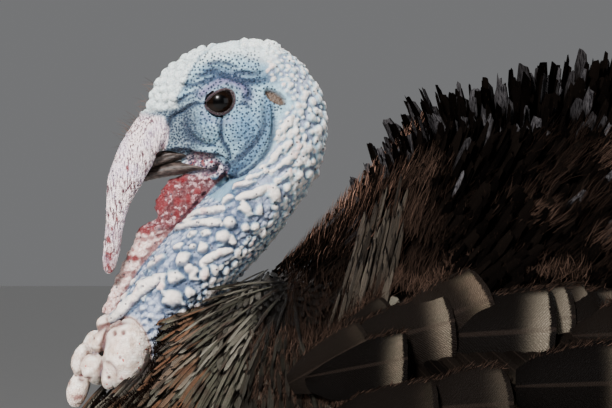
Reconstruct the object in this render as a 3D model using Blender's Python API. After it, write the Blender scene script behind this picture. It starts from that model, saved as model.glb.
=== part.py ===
"""A wild turkey gobbler in full strut, life size, as a still museum model.

Metres, +Z up. The bird faces -X and its left side is at -Y. Its neck is drawn back in
an S, the body feathers are raised, the wings hang to the ground and the tail is fanned.
The solids reach out to the tips of the feathers. The origin is on the floor, under the
middle of the bounding box.
"""

import math

import bmesh
import bpy
import numpy as np
from mathutils import Vector

GAP = 0.0003  # space between neighbouring solids
MM = 0.001
SIDES = (("left", -1.0), ("right", 1.0))

# Head. Its ribs are in millimetres from the centre of the eye, in side view.
EYE_X, EYE_Z = -0.200, 0.585
EYE_Y = 0.0165  # the eyeball's centre, either side of the middle
EYE_R = 0.0088

# Trunk, out to the tips of the raised feathers.
TRUNK_SIDES = 24

# Tail
TAIL_ROOT = (0.275, 0.432)  # x and z of the middle of the fan
TAIL_LEAN = math.radians(11)  # the fan leans back from upright
TAIL_HALF_SPREAD = math.radians(97)
TAIL_FEATHERS = 18
TAIL_R = 0.385
TAIL_CUP = 0.045  # how far the outer feathers come forward
FAN_START = 0.05  # the fan's feathers leave the rump at this radius
FAN_THICK = 0.008
FAN_THINNING = 0.75  # share of the thickness lost towards the tips
COVERT_R = 0.235
COVERT_HALF_SPREAD = math.radians(82)
COVERT_FEATHERS = 12
COVERT_FRONT = 0.0125  # how far the coverts stand before the tail's own plane
COVERT_THICK = 0.016

# Wings
PRIMARIES = 10
SECONDARIES = 13
PRIMARY_SHARE = 0.40  # of the wing's fan
ARM_SHARE = 0.40  # of each feather's length that the coverts hide

# Legs
STANCE_Y = 0.072
HOCK = (0.052, 0.168)
ANKLE = (0.010, 0.020)
PAD_R = 0.0125

COLOURS = {
    "face_skin": ((0.45, 0.62, 0.70), 0.45),
    "neck_skin": ((0.78, 0.80, 0.82), 0.45),
    "snood_skin": ((0.80, 0.68, 0.68), 0.45),
    "dewlap_skin": ((0.70, 0.32, 0.32), 0.45),
    "caruncle_skin": ((0.86, 0.80, 0.76), 0.45),
    "bill": ((0.22, 0.17, 0.14), 0.40),
    "eye": ((0.02, 0.01, 0.01), 0.05),
    "body_feather": ((0.035, 0.026, 0.020), 0.55),
    "wing_covert": ((0.060, 0.042, 0.028), 0.50),
    "wing_feather": ((0.20, 0.17, 0.14), 0.60),
    "tail_feather": ((0.16, 0.075, 0.035), 0.60),
    "tail_covert": ((0.11, 0.050, 0.025), 0.60),
    "beard": ((0.015, 0.012, 0.010), 0.60),
    "leg_scale": ((0.42, 0.24, 0.20), 0.50),
    "claw": ((0.06, 0.045, 0.04), 0.35),
}


# ---------------------------------------------------------------- tools


def clear_scene():
    for obj in list(bpy.data.objects):
        bpy.data.objects.remove(obj)


def material(name):
    found = bpy.data.materials.get(name)
    if found:
        return found
    made = bpy.data.materials.new(name)
    made.use_nodes = True
    shader = made.node_tree.nodes["Principled BSDF"]
    colour, roughness = COLOURS[name]
    shader.inputs["Base Color"].default_value = (*colour, 1.0)
    shader.inputs["Roughness"].default_value = roughness
    return made


def smooth(stations, per_span):
    """Catmull-Rom rows through the given rows of numbers."""
    rows = np.array(stations, float)
    padded = np.vstack([2 * rows[0] - rows[1], rows, 2 * rows[-1] - rows[-2]])
    out = []
    for i in range(len(rows) - 1):
        p0, p1, p2, p3 = padded[i : i + 4]
        for t in np.arange(per_span) / per_span:
            bend = 2 * p0 - 5 * p1 + 4 * p2 - p3
            twist = 3 * p1 - p0 - 3 * p2 + p3
            out.append(0.5 * (2 * p1 + (p2 - p0) * t + bend * t**2 + twist * t**3))
    out.append(rows[-1])
    return np.array(out)


def volume(points, faces):
    total = 0.0
    for face in faces:
        for i in range(1, len(face) - 1):
            total += np.dot(points[face[0]], np.cross(points[face[i]], points[face[i + 1]]))
    return total / 6


def triangles(faces):
    """Quads halved, because a Boolean needs flat faces."""
    return [[face[0], face[i], face[i + 1]] for face in faces for i in range(1, len(face) - 1)]


def add_object(name, points, faces, slot):
    """A closed mesh with its faces turned outward. Without a slot it is a hidden cutter."""
    faces = triangles(faces)
    if volume(points, faces) < 0:
        faces = [face[::-1] for face in faces]
    mesh = bpy.data.meshes.new(name)
    mesh.from_pydata([tuple(p) for p in points], [], faces)
    mesh.shade_smooth()
    mesh.set_sharp_from_angle(angle=math.radians(50))
    obj = bpy.data.objects.new(name, mesh)
    bpy.context.scene.collection.objects.link(obj)
    if slot:
        mesh.materials.append(material(slot))
    else:
        obj.hide_render = True
        obj.display_type = "WIRE"
    return obj


def loft(name, rings, slot=None):
    """Joins rings of points, and closes each end with a fan."""
    count, sides = len(rings), len(rings[0])
    points = [p for ring in rings for p in ring]
    points += [np.mean(rings[0], axis=0), np.mean(rings[-1], axis=0)]
    start, end = count * sides, count * sides + 1
    faces = []
    for i in range(sides):
        j = (i + 1) % sides
        faces.append([start, j, i])
        faces.append([end, (count - 1) * sides + i, (count - 1) * sides + j])
        for k in range(count - 1):
            a, b = k * sides, (k + 1) * sides
            faces.append([a + i, a + j, b + j, b + i])
    return add_object(name, np.array(points), faces, slot)


def rib_rings(ribs, sides, grow=0.0):
    """Rings for ribs in side view: the ends A and B of each rib, its half-width and its y.

    Ribs are (ax, az, bx, bz, half_width, y), in millimetres from the eye.
    """
    rings = []
    turn = np.arange(sides) * 2 * math.pi / sides
    for ax, az, bx, bz, half_width, y in np.array(ribs) * MM:
        a = np.array([EYE_X + ax, 0, EYE_Z + az])
        b = np.array([EYE_X + bx, 0, EYE_Z + bz])
        half = (a - b) / 2
        half *= 1 + grow / np.linalg.norm(half)
        ring = (a + b) / 2 + np.outer(np.cos(turn), half)
        ring[:, 1] = y + np.sin(turn) * (half_width + grow)
        rings.append(ring)
    return rings


def tube_rings(path, sides, grow=0.0):
    """Round rings across a path of (x, y, z, radius)."""
    path = np.array(path, float)
    centres, radii = path[:, :3], path[:, 3] + grow
    tangents = np.gradient(centres, axis=0)
    tangents /= np.linalg.norm(tangents, axis=1)[:, None]
    centres = centres.copy()
    centres[0] -= tangents[0] * grow
    centres[-1] += tangents[-1] * grow
    turn = np.arange(sides) * 2 * math.pi / sides
    side = np.array([0.0, 1.0, 0.0])
    rings = []
    for centre, along, radius in zip(centres, tangents, radii):
        across = side - along * np.dot(side, along)
        if np.linalg.norm(across) < 0.2:
            across = np.array([0.0, 0.0, 1.0]) - along * along[2]
        across /= np.linalg.norm(across)
        up = np.cross(along, across)
        rings.append(centre + radius * (np.outer(np.cos(turn), across) + np.outer(np.sin(turn), up)))
    return rings


def ball(name, centre, radii, slot=None, tilt=0.0, segments=12, rings=7):
    """An ellipsoid, tilted in side view by an angle about Y."""
    mesh = bmesh.new()
    bmesh.ops.create_uvsphere(mesh, u_segments=segments, v_segments=rings, radius=1.0)
    points = np.array([v.co[:] for v in mesh.verts]) * radii
    faces = [[v.index for v in f.verts] for f in mesh.faces]
    mesh.free()
    c, s = math.cos(tilt), math.sin(tilt)
    turned = points @ np.array([[c, 0, s], [0, 1, 0], [-s, 0, c]]).T
    return add_object(name, turned + np.array(centre), faces, slot)


def boolean(obj, other, operation="DIFFERENCE"):
    modifier = obj.modifiers.new(operation.lower(), "BOOLEAN")
    modifier.operation = operation
    modifier.solver = "EXACT"
    modifier.object = other


# ---------------------------------------------------------------- head and neck

# The crown, nape and back of the neck are A, the brow, face and throat are B.
NECK_RIBS = [
    (-35, 1, -36, -12, 5, 0),
    (-33, 11, -34, -22, 11, 0),
    (-27, 19, -26, -28, 15.5, 0),
    (-17, 26, -15, -31, 18.5, 0),
    (-3, 31, -2, -34, 21, 0),
    (12, 33, 8, -37, 22.5, 0),
    (27, 30, 11, -40, 23.5, 0),
    (41, 21, 9, -43, 24.5, 0),
    (51, 5, 4, -46, 25, 0),
    (54, -14, -6, -54, 26, 0),
    (50, -33, -17, -64, 27, 0),
    (40, -52, -28, -74, 28, 0),
    (27, -70, -38, -85, 29, 0),
    (13, -86, -47, -97, 30, 0),
    (0, -102, -55, -110, 31, 0),
    (-14, -120, -61, -124, 29, 0),
    (-26, -140, -62, -142, 23, 0),
]
HEAD_END = 16  # the head ends at this ring of the smoothed ribs, below the ears
PARTING = 0.2  # width of the cut between head and neck, as a share of the next ring
NECK_SIDES = 16


def head_and_neck():
    ribs = smooth(NECK_RIBS, 2)
    parting = ribs[HEAD_END] + (ribs[HEAD_END + 1] - ribs[HEAD_END]) * PARTING
    head = loft("head", rib_rings(ribs[: HEAD_END + 1], NECK_SIDES), "face_skin")
    neck_ribs = np.vstack([parting, ribs[HEAD_END + 1 :]])
    neck = loft("neck", rib_rings(neck_ribs, NECK_SIDES), "neck_skin")
    cutter = loft("head_neck_cutter", rib_rings(ribs, NECK_SIDES, GAP))
    return head, neck, cutter


BILL_SIDES = 10
UPPER_BILL = [
    (-14, -12, -8, -27, 9.5, 0),
    (-26, -13, -18, -31, 9.0, 0),
    (-36, -19, -27, -34, 7.5, 0),
    (-43, -29, -36, -38, 5.5, 0),
    (-47, -38, -42, -42, 3.2, 0),
    (-49, -45, -47.5, -46.5, 1.0, 0),
]
LOWER_BILL = [
    (-6, -29, -4, -37, 9.0, 0),
    (-18, -32.2, -16, -39, 8.0, 0),
    (-28, -35.6, -26, -41.5, 6.5, 0),
    (-36, -39.2, -35, -44, 4.4, 0),
    (-42, -43, -41, -46, 2.0, 0),
]
# The snood hangs from the brow, over the left side of the bill.
SNOOD = [
    (-28, 2, 0, 5),
    (-33, -8, -4, 8),
    (-41, -22, -9, 10),
    (-48, -38, -13.5, 9.6),
    (-52.6, -51, -14, 7.2),
    (-55, -65, -13, 5.5),
    (-56.9, -79, -12, 4.7),
    (-58.2, -90, -11, 2.4),
]
SNOOD_FLATNESS = 0.66  # its depth over its width
SNOOD_SIDES = 8
DEWLAP = [
    (0, -37, -13, -38, 3.5, 0),
    (2, -45, -28, -45, 5.5, 0),
    (-5, -54, -33, -54, 6.0, 0),
    (-14, -64, -35, -64, 5.5, 0),
    (-22, -72, -43, -69, 5.0, 0),
    (-30, -80, -48, -78, 5.0, 0),
    (-37, -89, -54, -88, 5.5, 0),
    (-46, -99, -58, -99, 5.0, 0),
    (-53, -110, -62, -109, 4.0, 0),
]
# The swollen lobes at the foot of the neck, node by node: x, y, z of the centre, the
# half-sizes along x, y and z, all in millimetres, and the tilt in side view in degrees.
LOBES = {
    "caruncle_left": [(-48, -22.5, -129.5, 12.2, 13, 18.8, 12)],
    "caruncle_right": [(-47.5, 22, -130, 11.2, 12, 17.2, 8)],
    "caruncle_front": [
        (-64.5, -10, -137, 8.5, 11.5, 10, 8),
        (-63.5, 10, -138, 8, 9.5, 10, 8),
        (-74, 0, -149, 6.6, 7.6, 10, 14),
        (-62.5, -8, -123, 7.5, 10, 8.5, 25),
        (-71, 0, -133, 6.5, 8, 9.5, 14),
    ],
    "caruncle_ridge": [(-46, -25.5, -103, 20, 5.5, 6.5, -36)],
}


def snood_rings(grow=0.0):
    path = np.array([(EYE_X + x * MM, y * MM, EYE_Z + z * MM, r * MM) for x, z, y, r in SNOOD])
    path = smooth(path, 2)
    rings = tube_rings(path, SNOOD_SIDES, grow)
    for ring, centre in zip(rings, path):
        ring[:, 1] = centre[1] + (ring[:, 1] - centre[1]) * SNOOD_FLATNESS
    return rings


def head_parts():
    head, neck, body_cutter = head_and_neck()
    for side, sign in SIDES:
        centre = (EYE_X, sign * EYE_Y, EYE_Z)
        ball(f"eye_{side}", centre, (EYE_R,) * 3, "eye")
        socket = ball(f"eye_socket_{side}", centre, (EYE_R + GAP,) * 3)
        boolean(head, socket)
    upper_ribs, lower_ribs = smooth(UPPER_BILL, 2), smooth(LOWER_BILL, 2)
    upper = loft("bill_upper", rib_rings(upper_ribs, BILL_SIDES), "bill")
    lower = loft("bill_lower", rib_rings(lower_ribs, BILL_SIDES), "bill")
    upper_cutter = loft("bill_upper_cutter", rib_rings(upper_ribs, BILL_SIDES, GAP))
    lower_cutter = loft("bill_lower_cutter", rib_rings(lower_ribs, BILL_SIDES, GAP))
    snood = loft("snood", snood_rings(), "snood_skin")
    dewlap = loft("dewlap", rib_rings(DEWLAP, BILL_SIDES), "dewlap_skin")
    boolean(upper, body_cutter)
    boolean(lower, body_cutter)
    boolean(lower, upper_cutter)
    for cutter in (body_cutter, upper_cutter, lower_cutter):
        boolean(snood, cutter)
    nodes, cutters = caruncles(body_cutter)
    for cutter in (body_cutter, lower_cutter, *cutters):
        boolean(dewlap, cutter)
    return [neck, dewlap, *nodes]


def caruncles(body_cutter):
    """Each node is a union of its lobes, cut back by the nodes before it."""
    nodes, cutters = [], []
    for name, lobes in LOBES.items():
        made, grown = [], []
        for number, (x, y, z, rx, ry, rz, tilt) in enumerate(lobes):
            centre = (EYE_X + x * MM, y * MM, EYE_Z + z * MM)
            radii = np.array([rx, ry, rz]) * MM
            angle = math.radians(tilt)
            label = f"{name}_lobe_{number}" if number else name
            made.append(ball(label, centre, radii, None if number else "caruncle_skin", angle, 10, 7))
            grown.append(ball(f"{name}_cutter_{number}", centre, radii + GAP, None, angle, 10, 7))
        for lobe in made[1:]:
            boolean(made[0], lobe, "UNION")
        for cutter in (body_cutter, *cutters):
            boolean(made[0], cutter)
        nodes.append(made[0])
        cutters += grown
    return nodes, cutters


# ---------------------------------------------------------------- trunk

# x, top, bottom, half-width, and the height of the widest point.
TRUNK = [
    (-0.292, 0.372, 0.338, 0.022, 0.356),
    (-0.280, 0.415, 0.292, 0.070, 0.354),
    (-0.262, 0.446, 0.256, 0.102, 0.354),
    (-0.237, 0.466, 0.228, 0.128, 0.356),
    (-0.200, 0.490, 0.202, 0.148, 0.360),
    (-0.164, 0.508, 0.187, 0.158, 0.366),
    (-0.130, 0.546, 0.179, 0.164, 0.372),
    (-0.098, 0.581, 0.175, 0.167, 0.378),
    (-0.050, 0.602, 0.172, 0.168, 0.385),
    (0.010, 0.612, 0.174, 0.167, 0.388),
    (0.070, 0.606, 0.182, 0.164, 0.386),
    (0.130, 0.586, 0.198, 0.155, 0.382),
    (0.185, 0.558, 0.220, 0.142, 0.378),
    (0.235, 0.522, 0.246, 0.122, 0.372),
    (0.280, 0.500, 0.270, 0.107, 0.380),
    (0.310, 0.496, 0.292, 0.092, 0.392),
    (0.332, 0.474, 0.318, 0.070, 0.396),
    (0.346, 0.436, 0.356, 0.034, 0.396),
]
RIDGE = 0.80  # below 1 the upper half narrows towards the top
BELLY = 0.90  # below 1 the lower half stays wide towards the bottom


def trunk_rings(grow=0.0):
    rings = []
    turn = np.arange(TRUNK_SIDES) * 2 * math.pi / TRUNK_SIDES
    up, out = np.cos(turn), np.sin(turn)
    power = np.where(up > 0, 1 / RIDGE, BELLY)
    for x, top, bottom, half_width, wide in TRUNK:
        ring = np.zeros((TRUNK_SIDES, 3))
        ring[:, 0] = x
        ring[:, 1] = (half_width + grow) * np.sign(out) * np.abs(out) ** power
        ring[:, 2] = wide + np.where(up > 0, (top + grow - wide) * up, (wide - bottom + grow) * up)
        rings.append(ring)
    rings[0][:, 0] -= grow
    rings[-1][:, 0] += grow
    return rings


def trunk():
    loft("trunk", trunk_rings(), "body_feather")
    return loft("trunk_cutter", trunk_rings(GAP))


def trunk_side(x, z):
    """The trunk's half-width at x and z, kept at its widest below the widest point."""
    stations = np.array(TRUNK)
    top, half_width, wide = (np.interp(x, stations[:, 0], stations[:, k]) for k in (1, 3, 4))
    up = np.clip((z - wide) / (top - wide), 0, 1)
    return half_width * np.sqrt(1 - up**2) ** (1 / RIDGE)


# ---------------------------------------------------------------- wings

# Share of the fan from the first primary to the last tertial, then x and z.
WING_LEAD = [
    (0.00, -0.084, 0.235),
    (0.15, -0.118, 0.300),
    (0.30, -0.142, 0.355),
    (0.45, -0.150, 0.405),
    (0.62, -0.134, 0.447),
    (0.80, -0.090, 0.474),
    (1.00, -0.020, 0.486),
]
WING_TRAIL = [
    (0.00, -0.052, 0.004),
    (0.15, -0.014, 0.004),
    (0.30, 0.030, 0.018),
    (0.45, 0.080, 0.066),
    (0.62, 0.146, 0.150),
    (0.80, 0.206, 0.250),
    (1.00, 0.246, 0.356),
]
WING_CLEAR = 0.0045
ARM_THICK, ARM_TRAIL_THICK = 0.030, 0.013
VANE_THICK, TIP_THICK = 0.008, 0.002
ARM_NOSE = 0.003  # half-round front edge
FLARE_FROM = 0.36  # below this height the wing stands out from the body
WING_FLARE = 0.030  # and by this much at the floor, before the curl
WING_CURL = 0.25  # share of the flare that the tips curl back in
SHOULDER_X, RUMP_X = -0.16, 0.20  # past these the wing keeps clear of the body's taper
PLEAT = 0.0016
PLEAT_COLUMNS = ((0.06, 0.0), (0.5, 0.5), (0.94, 1.0))  # across a vane: place and share of the pleat
WING_NOTCH, TAIL_NOTCH, COVERT_NOTCH = 0.033, 0.025, 0.04  # how far a vane's corners stop short
SEAM = 0.002  # share of the wing between the primaries and the secondaries
STEP = 0.010  # share of a feather's length between the coverts and the vanes


def edge_at(edge, t):
    rows = smooth(edge, 6)
    return np.array([np.interp(t, rows[:, 0], rows[:, 1]), np.interp(t, rows[:, 0], rows[:, 2])])


def wing_inner(x, z):
    """How far from the middle the wing's inner face is."""
    drop = np.clip((FLARE_FROM - z) / FLARE_FROM, 0, 1)
    body = trunk_side(np.clip(x, SHOULDER_X, RUMP_X), z)
    return body + WING_CLEAR + WING_FLARE * drop * (1 - WING_CURL * drop)


def wing_panel(name, slot, sign, columns, rows, thickness):
    """A plate over the wing's fan. Columns are (t, tip share, pleat), rows are shares s."""
    outer, inner = [], []
    for t, tip, pleat in columns:
        lead, trail = edge_at(WING_LEAD, t), edge_at(WING_TRAIL, t)
        for s in rows:
            reach = rows[0] + (s - rows[0]) * tip
            x, z = lead + (trail - lead) * reach
            y = wing_inner(x, z)
            depth = thickness(s) + pleat * (s > rows[0])
            outer.append((x, sign * (y + depth), z))
            inner.append((x, sign * y, z))
    return plate(name, slot, outer, inner, len(columns), len(rows))


def plate(name, slot, outer, inner, columns, rows):
    """Closes two grids of points of the same layout into one plate."""
    count = columns * rows
    faces = []
    for i in range(columns - 1):
        for j in range(rows - 1):
            a = i * rows + j
            quad = [a, a + 1, a + rows + 1, a + rows]
            faces.append(quad)
            faces.append([count + k for k in reversed(quad)])
    rim = [i * rows for i in range(columns)]
    rim += [(columns - 1) * rows + j for j in range(1, rows)]
    rim += [i * rows + rows - 1 for i in range(columns - 2, -1, -1)]
    rim += list(range(rows - 2, 0, -1))
    for a, b in zip(rim, rim[1:] + rim[:1]):
        faces.append([a, b, count + b, count + a])
    return add_object(name, np.array(outer + inner), faces, slot)


def vane_columns(start, end, feathers, depth):
    """Each feather is three columns: two corners that stop short by depth, and the middle."""
    columns = []
    width = (end - start) / feathers
    for number in range(feathers):
        for place, pleat in PLEAT_COLUMNS:
            tip = 1.0 if place == 0.5 else 1 - depth
            columns.append((start + (number + place) * width, tip, pleat * PLEAT))
    return columns


def arm_depth(s):
    nose = min(1.0, s / (ARM_SHARE * 0.25)) ** 0.5
    return nose * (ARM_THICK + (ARM_TRAIL_THICK - ARM_THICK) * s / ARM_SHARE) + ARM_NOSE


def vane_depth(s):
    return VANE_THICK + (TIP_THICK - VANE_THICK) * (s - ARM_SHARE) / (1 - ARM_SHARE)


def wings():
    arm_columns = [(t, 1.0, 0.0) for t in np.linspace(0, 1, 12)]
    arm_rows = np.linspace(0, ARM_SHARE - STEP, 5)
    vane_rows = np.array([ARM_SHARE, 0.72, 1.0])
    primaries = vane_columns(0, PRIMARY_SHARE - SEAM, PRIMARIES, WING_NOTCH)
    secondaries = vane_columns(PRIMARY_SHARE + SEAM, 1, SECONDARIES, WING_NOTCH)
    for side, sign in SIDES:
        wing_panel(f"wing_{side}_arm", "wing_covert", sign, arm_columns, arm_rows, arm_depth)
        wing_panel(f"wing_{side}_primaries", "wing_feather", sign, primaries, vane_rows, vane_depth)
        wing_panel(f"wing_{side}_secondaries", "wing_feather", sign, secondaries, vane_rows, vane_depth)


# ---------------------------------------------------------------- tail


def fan(name, slot, radius, feathers, half_spread, front, thick, notch):
    """A cupped fan of feathers. front is how far it stands before the tail's own plane."""
    lean = np.array([math.sin(TAIL_LEAN), 0, math.cos(TAIL_LEAN)])
    back = np.array([math.cos(TAIL_LEAN), 0, -math.sin(TAIL_LEAN)])
    root = np.array([TAIL_ROOT[0], 0, TAIL_ROOT[1]])
    columns = vane_columns(-1, 1, feathers, notch)
    outer, inner = [], []
    radii = np.array([FAN_START, radius * 0.6, radius])
    for share, tip, pleat in columns:
        angle = half_spread * share
        away = np.array([0, math.sin(angle), 0]) + lean * math.cos(angle)
        for k, r in enumerate(radii):
            reach = r * (tip if k > 1 else 1.0)
            cup = TAIL_CUP * (reach / TAIL_R) ** 2 * share**2
            point = root + away * reach - back * (cup + front)
            depth = thick * (1 - FAN_THINNING * k / (len(radii) - 1))
            outer.append(point - back * (depth + pleat))
            inner.append(point)
    return plate(name, slot, outer, inner, len(columns), len(radii))


def tail(trunk_cutter):
    feathers = fan(
        "tail_fan", "tail_feather", TAIL_R, TAIL_FEATHERS, TAIL_HALF_SPREAD, 0.0, FAN_THICK, TAIL_NOTCH
    )
    coverts = fan(
        "tail_coverts", "tail_covert", COVERT_R, COVERT_FEATHERS, COVERT_HALF_SPREAD,
        COVERT_FRONT, COVERT_THICK, COVERT_NOTCH,
    )
    boolean(feathers, trunk_cutter)
    boolean(coverts, trunk_cutter)


# ---------------------------------------------------------------- legs and beard

TOES = [  # name, direction in degrees from straight ahead, outward positive, and length
    ("inner", -34, 0.056),
    ("middle", 4, 0.078),
    ("outer", 40, 0.060),
    ("hind", 168, 0.030),
]
TOE_R = 0.0078
HIND_TOE = 0.82  # its radius over the front toes'
TOE_RISE = 0.0062  # how much higher the toe's root lies than its tip
JOINT_SWELL = 0.09
SOLE = 0.80  # the toe's axis is this share of its radius above the floor, which cuts its flat
CLAW_LENGTH = 0.015
CLAW_TAPER = 0.86
PAD = (0.0145, PAD_R, 0.0135)
PAD_DROP = 0.008
# Share of the way from the hock to the ankle, and the radius.
SHANK = [
    (0.00, 0.0125),
    (0.08, 0.0125),
    (0.20, 0.0085),
    (0.50, 0.0072),
    (0.80, 0.0078),
    (0.92, 0.0096),
    (1.00, 0.0100),
]
# Share of the way from the knee, inside the body, to the hock, and the radius.
KNEE = (-0.010, 0.262)
THIGH = [(0.0, 0.056), (0.35, 0.050), (0.7, 0.031), (1.0, 0.0165)]
# From a point on the shank: back, inward and up, and the radius.
SPUR_SHARE = 0.66
SPUR = [
    (0.004, 0.001, 0.000, 0.0050),
    (0.014, 0.004, 0.001, 0.0040),
    (0.024, 0.007, 0.005, 0.0024),
    (0.031, 0.009, 0.012, 0.0007),
]
BEARD = [  # x, z and radius, from its root down
    (-0.272, 0.384, 0.006),
    (-0.291, 0.366, 0.0075),
    (-0.300, 0.330, 0.009),
    (-0.301, 0.280, 0.010),
    (-0.297, 0.230, 0.009),
    (-0.292, 0.196, 0.006),
]


def along(start, end, stations):
    """A path from start to end through (share, radius) stations."""
    return [(*(start + (end - start) * share), radius) for share, radius in stations]


def toe_path(start, heading, length, radius):
    """Along the floor, with a swelling under each joint of the toe."""
    path = []
    for share in np.linspace(0, 1, 7):
        swell = radius * (1.0 - 0.28 * share + JOINT_SWELL * math.sin(share * 6 * math.pi - 0.6))
        x, y = start[:2] + heading[:2] * length * share
        path.append((x, y, swell * SOLE + TOE_RISE * (1 - share) ** 2, swell))
    return np.array(path)


def claw_path(start, heading, radius):
    path = []
    for share in np.linspace(0, 1, 4):
        x, y = start[:2] + heading[:2] * CLAW_LENGTH * share
        drop = (start[2] - 0.0012) * share**1.6
        path.append((x, y, start[2] - drop, radius * (1 - CLAW_TAPER * share)))
    return np.array(path)


def leg(side, sign, trunk_cutter):
    y = sign * STANCE_Y
    hock = np.array([HOCK[0], y, HOCK[1]])
    ankle = np.array([ANKLE[0], y * 1.03, ANKLE[1]])
    knee = np.array([KNEE[0], y * 0.98, KNEE[1]])
    shank_path = along(hock, ankle, SHANK)
    shank = loft(f"shank_{side}", tube_rings(shank_path, 10), "leg_scale")
    shank_cutter = loft(f"shank_cutter_{side}", tube_rings(shank_path, 10, GAP))
    thigh = loft(f"thigh_{side}", tube_rings(smooth(along(knee, hock, THIGH), 2), 12), "body_feather")
    boolean(thigh, trunk_cutter)
    boolean(thigh, shank_cutter)
    spur_at = hock + (ankle - hock) * SPUR_SHARE
    spur_path = [(*(spur_at + np.array([back, -sign * inward, up])), r) for back, inward, up, r in SPUR]
    spur = loft(f"spur_{side}", tube_rings(spur_path, 8), "claw")
    boolean(spur, shank_cutter)
    foot(side, sign, ankle, shank)


def foot(side, sign, ankle, shank):
    """A pad and four toes in one solid, with a claw in front of each toe, all cut flat by the floor."""
    centre = ankle - np.array([0, 0, PAD_DROP])
    pad = ball(f"foot_{side}", centre, PAD, "leg_scale")
    boolean(shank, ball(f"pad_cutter_{side}", centre, np.array(PAD) + GAP))
    floor = floor_cutter(f"floor_cutter_{side}", ankle)
    for name, degrees, length in TOES:
        angle = math.radians(degrees)
        heading = np.array([-math.cos(angle), sign * math.sin(angle), 0.0])
        radius = TOE_R * (HIND_TOE if name == "hind" else 1.0)
        path = toe_path(ankle, heading, length, radius)
        boolean(pad, loft(f"toe_{side}_{name}", tube_rings(path, 8)), "UNION")
        root = path[-1, :3] + heading * GAP
        rings = tube_rings(claw_path(root, heading, path[-1, 3] * 0.74), 6)
        claw = loft(f"claw_{side}_{name}", rings, "claw")
        boolean(claw, floor)
    boolean(pad, floor)


def floor_cutter(name, ankle):
    """A box under the foot, up to the floor."""
    reach, depth = 0.2, 0.05
    corners = [(-1, -1), (1, -1), (1, 1), (-1, 1)]
    rings = [
        np.array([(ankle[0] + x * reach, ankle[1] + y * reach, z) for x, y in corners]) for z in (-depth, 0.0)
    ]
    return loft(name, rings)


def beard(trunk_cutter):
    path = [(x, 0, z, radius) for x, z, radius in BEARD]
    tuft = loft("beard", tube_rings(path, 8), "beard")
    boolean(tuft, trunk_cutter)


# ---------------------------------------------------------------- whole bird


def stand_on_origin():
    """Moves the bird so that the bottom centre of its bounding box is the origin."""
    bpy.context.view_layer.update()
    graph = bpy.context.evaluated_depsgraph_get()
    low, high = np.full(3, np.inf), np.full(3, -np.inf)
    for obj in bpy.data.objects:
        if obj.hide_render:
            continue
        evaluated = obj.evaluated_get(graph)
        corners = np.array([evaluated.matrix_world @ v.co for v in evaluated.data.vertices])
        low, high = np.minimum(low, corners.min(0)), np.maximum(high, corners.max(0))
    middle = (low + high) / 2
    for obj in bpy.data.objects:
        obj.location += Vector((-middle[0], -middle[1], -low[2]))


def main():
    clear_scene()
    around_neck = head_parts()
    trunk_cutter = trunk()
    for piece in around_neck:
        boolean(piece, trunk_cutter)
    wings()
    tail(trunk_cutter)
    for side, sign in SIDES:
        leg(side, sign, trunk_cutter)
    beard(trunk_cutter)
    stand_on_origin()


main()
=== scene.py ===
"""The looks of a wild turkey gobbler in strut: skin, feathers, eyes, bill, legs, floor and light.

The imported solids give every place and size. Lengths in the tables below are millimetres from
the middle of the two eyes: x to the tail, y to the right, z up. The bird faces -X.
"""

import math

import bpy
import numpy as np
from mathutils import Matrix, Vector
from mathutils.bvhtree import BVHTree
from mathutils.kdtree import KDTree


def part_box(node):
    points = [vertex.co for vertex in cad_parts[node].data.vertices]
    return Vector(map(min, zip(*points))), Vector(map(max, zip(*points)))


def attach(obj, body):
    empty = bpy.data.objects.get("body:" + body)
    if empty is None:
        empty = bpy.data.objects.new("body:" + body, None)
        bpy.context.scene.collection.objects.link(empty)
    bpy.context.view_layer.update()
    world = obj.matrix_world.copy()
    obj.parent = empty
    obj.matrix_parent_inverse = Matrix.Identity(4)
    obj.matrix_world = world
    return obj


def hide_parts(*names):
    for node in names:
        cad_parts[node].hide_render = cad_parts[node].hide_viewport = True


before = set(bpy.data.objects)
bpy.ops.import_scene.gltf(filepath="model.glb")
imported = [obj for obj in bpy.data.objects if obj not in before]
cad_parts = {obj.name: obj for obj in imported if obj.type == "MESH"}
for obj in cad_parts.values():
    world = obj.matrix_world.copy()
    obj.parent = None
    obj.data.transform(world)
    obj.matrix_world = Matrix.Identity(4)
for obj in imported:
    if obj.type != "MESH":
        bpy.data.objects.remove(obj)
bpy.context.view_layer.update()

MM = 0.001
SIDES = (("left", -1.0), ("right", 1.0))
TURN = 2 * math.pi
SKIN_VOXEL, LEG_VOXEL, BODY_VOXEL = 0.00067, 0.0009, 0.0045  # metres, for the fused skins


def box_middle(*nodes):
    corners = np.array([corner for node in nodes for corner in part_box(node)])
    return (corners.min(0) + corners.max(0)) / 2


EYES = box_middle("eye_left", "eye_right")
EYE_R = 8.8
EYE_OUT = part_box("eye_right")[1][1] / MM - EYE_R  # the eyeball's centre, from the middle


def at(points):
    """Points in millimetres from the middle of the eyes, in the scene's metres."""
    return EYES + np.array(points, float) * MM


# ---------------------------------------------------------------- meshes


def mesh_object(name, points, *face_groups):
    """A mesh object from points and arrays of faces, each array with its own number of corners."""
    mesh = bpy.data.meshes.new(name)
    mesh.vertices.add(len(points))
    mesh.vertices.foreach_set("co", np.asarray(points, np.float32).ravel())
    corners = np.concatenate([group.ravel() for group in face_groups])
    sizes = np.concatenate([np.full(len(group), group.shape[1]) for group in face_groups])
    mesh.loops.add(len(corners))
    mesh.loops.foreach_set("vertex_index", corners.astype(np.int32))
    mesh.polygons.add(len(sizes))
    starts = np.concatenate([[0], np.cumsum(sizes)[:-1]])
    mesh.polygons.foreach_set("loop_start", starts.astype(np.int32))
    mesh.update(calc_edges=True)
    mesh.shade_smooth()
    return linked(name, mesh)


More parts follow.
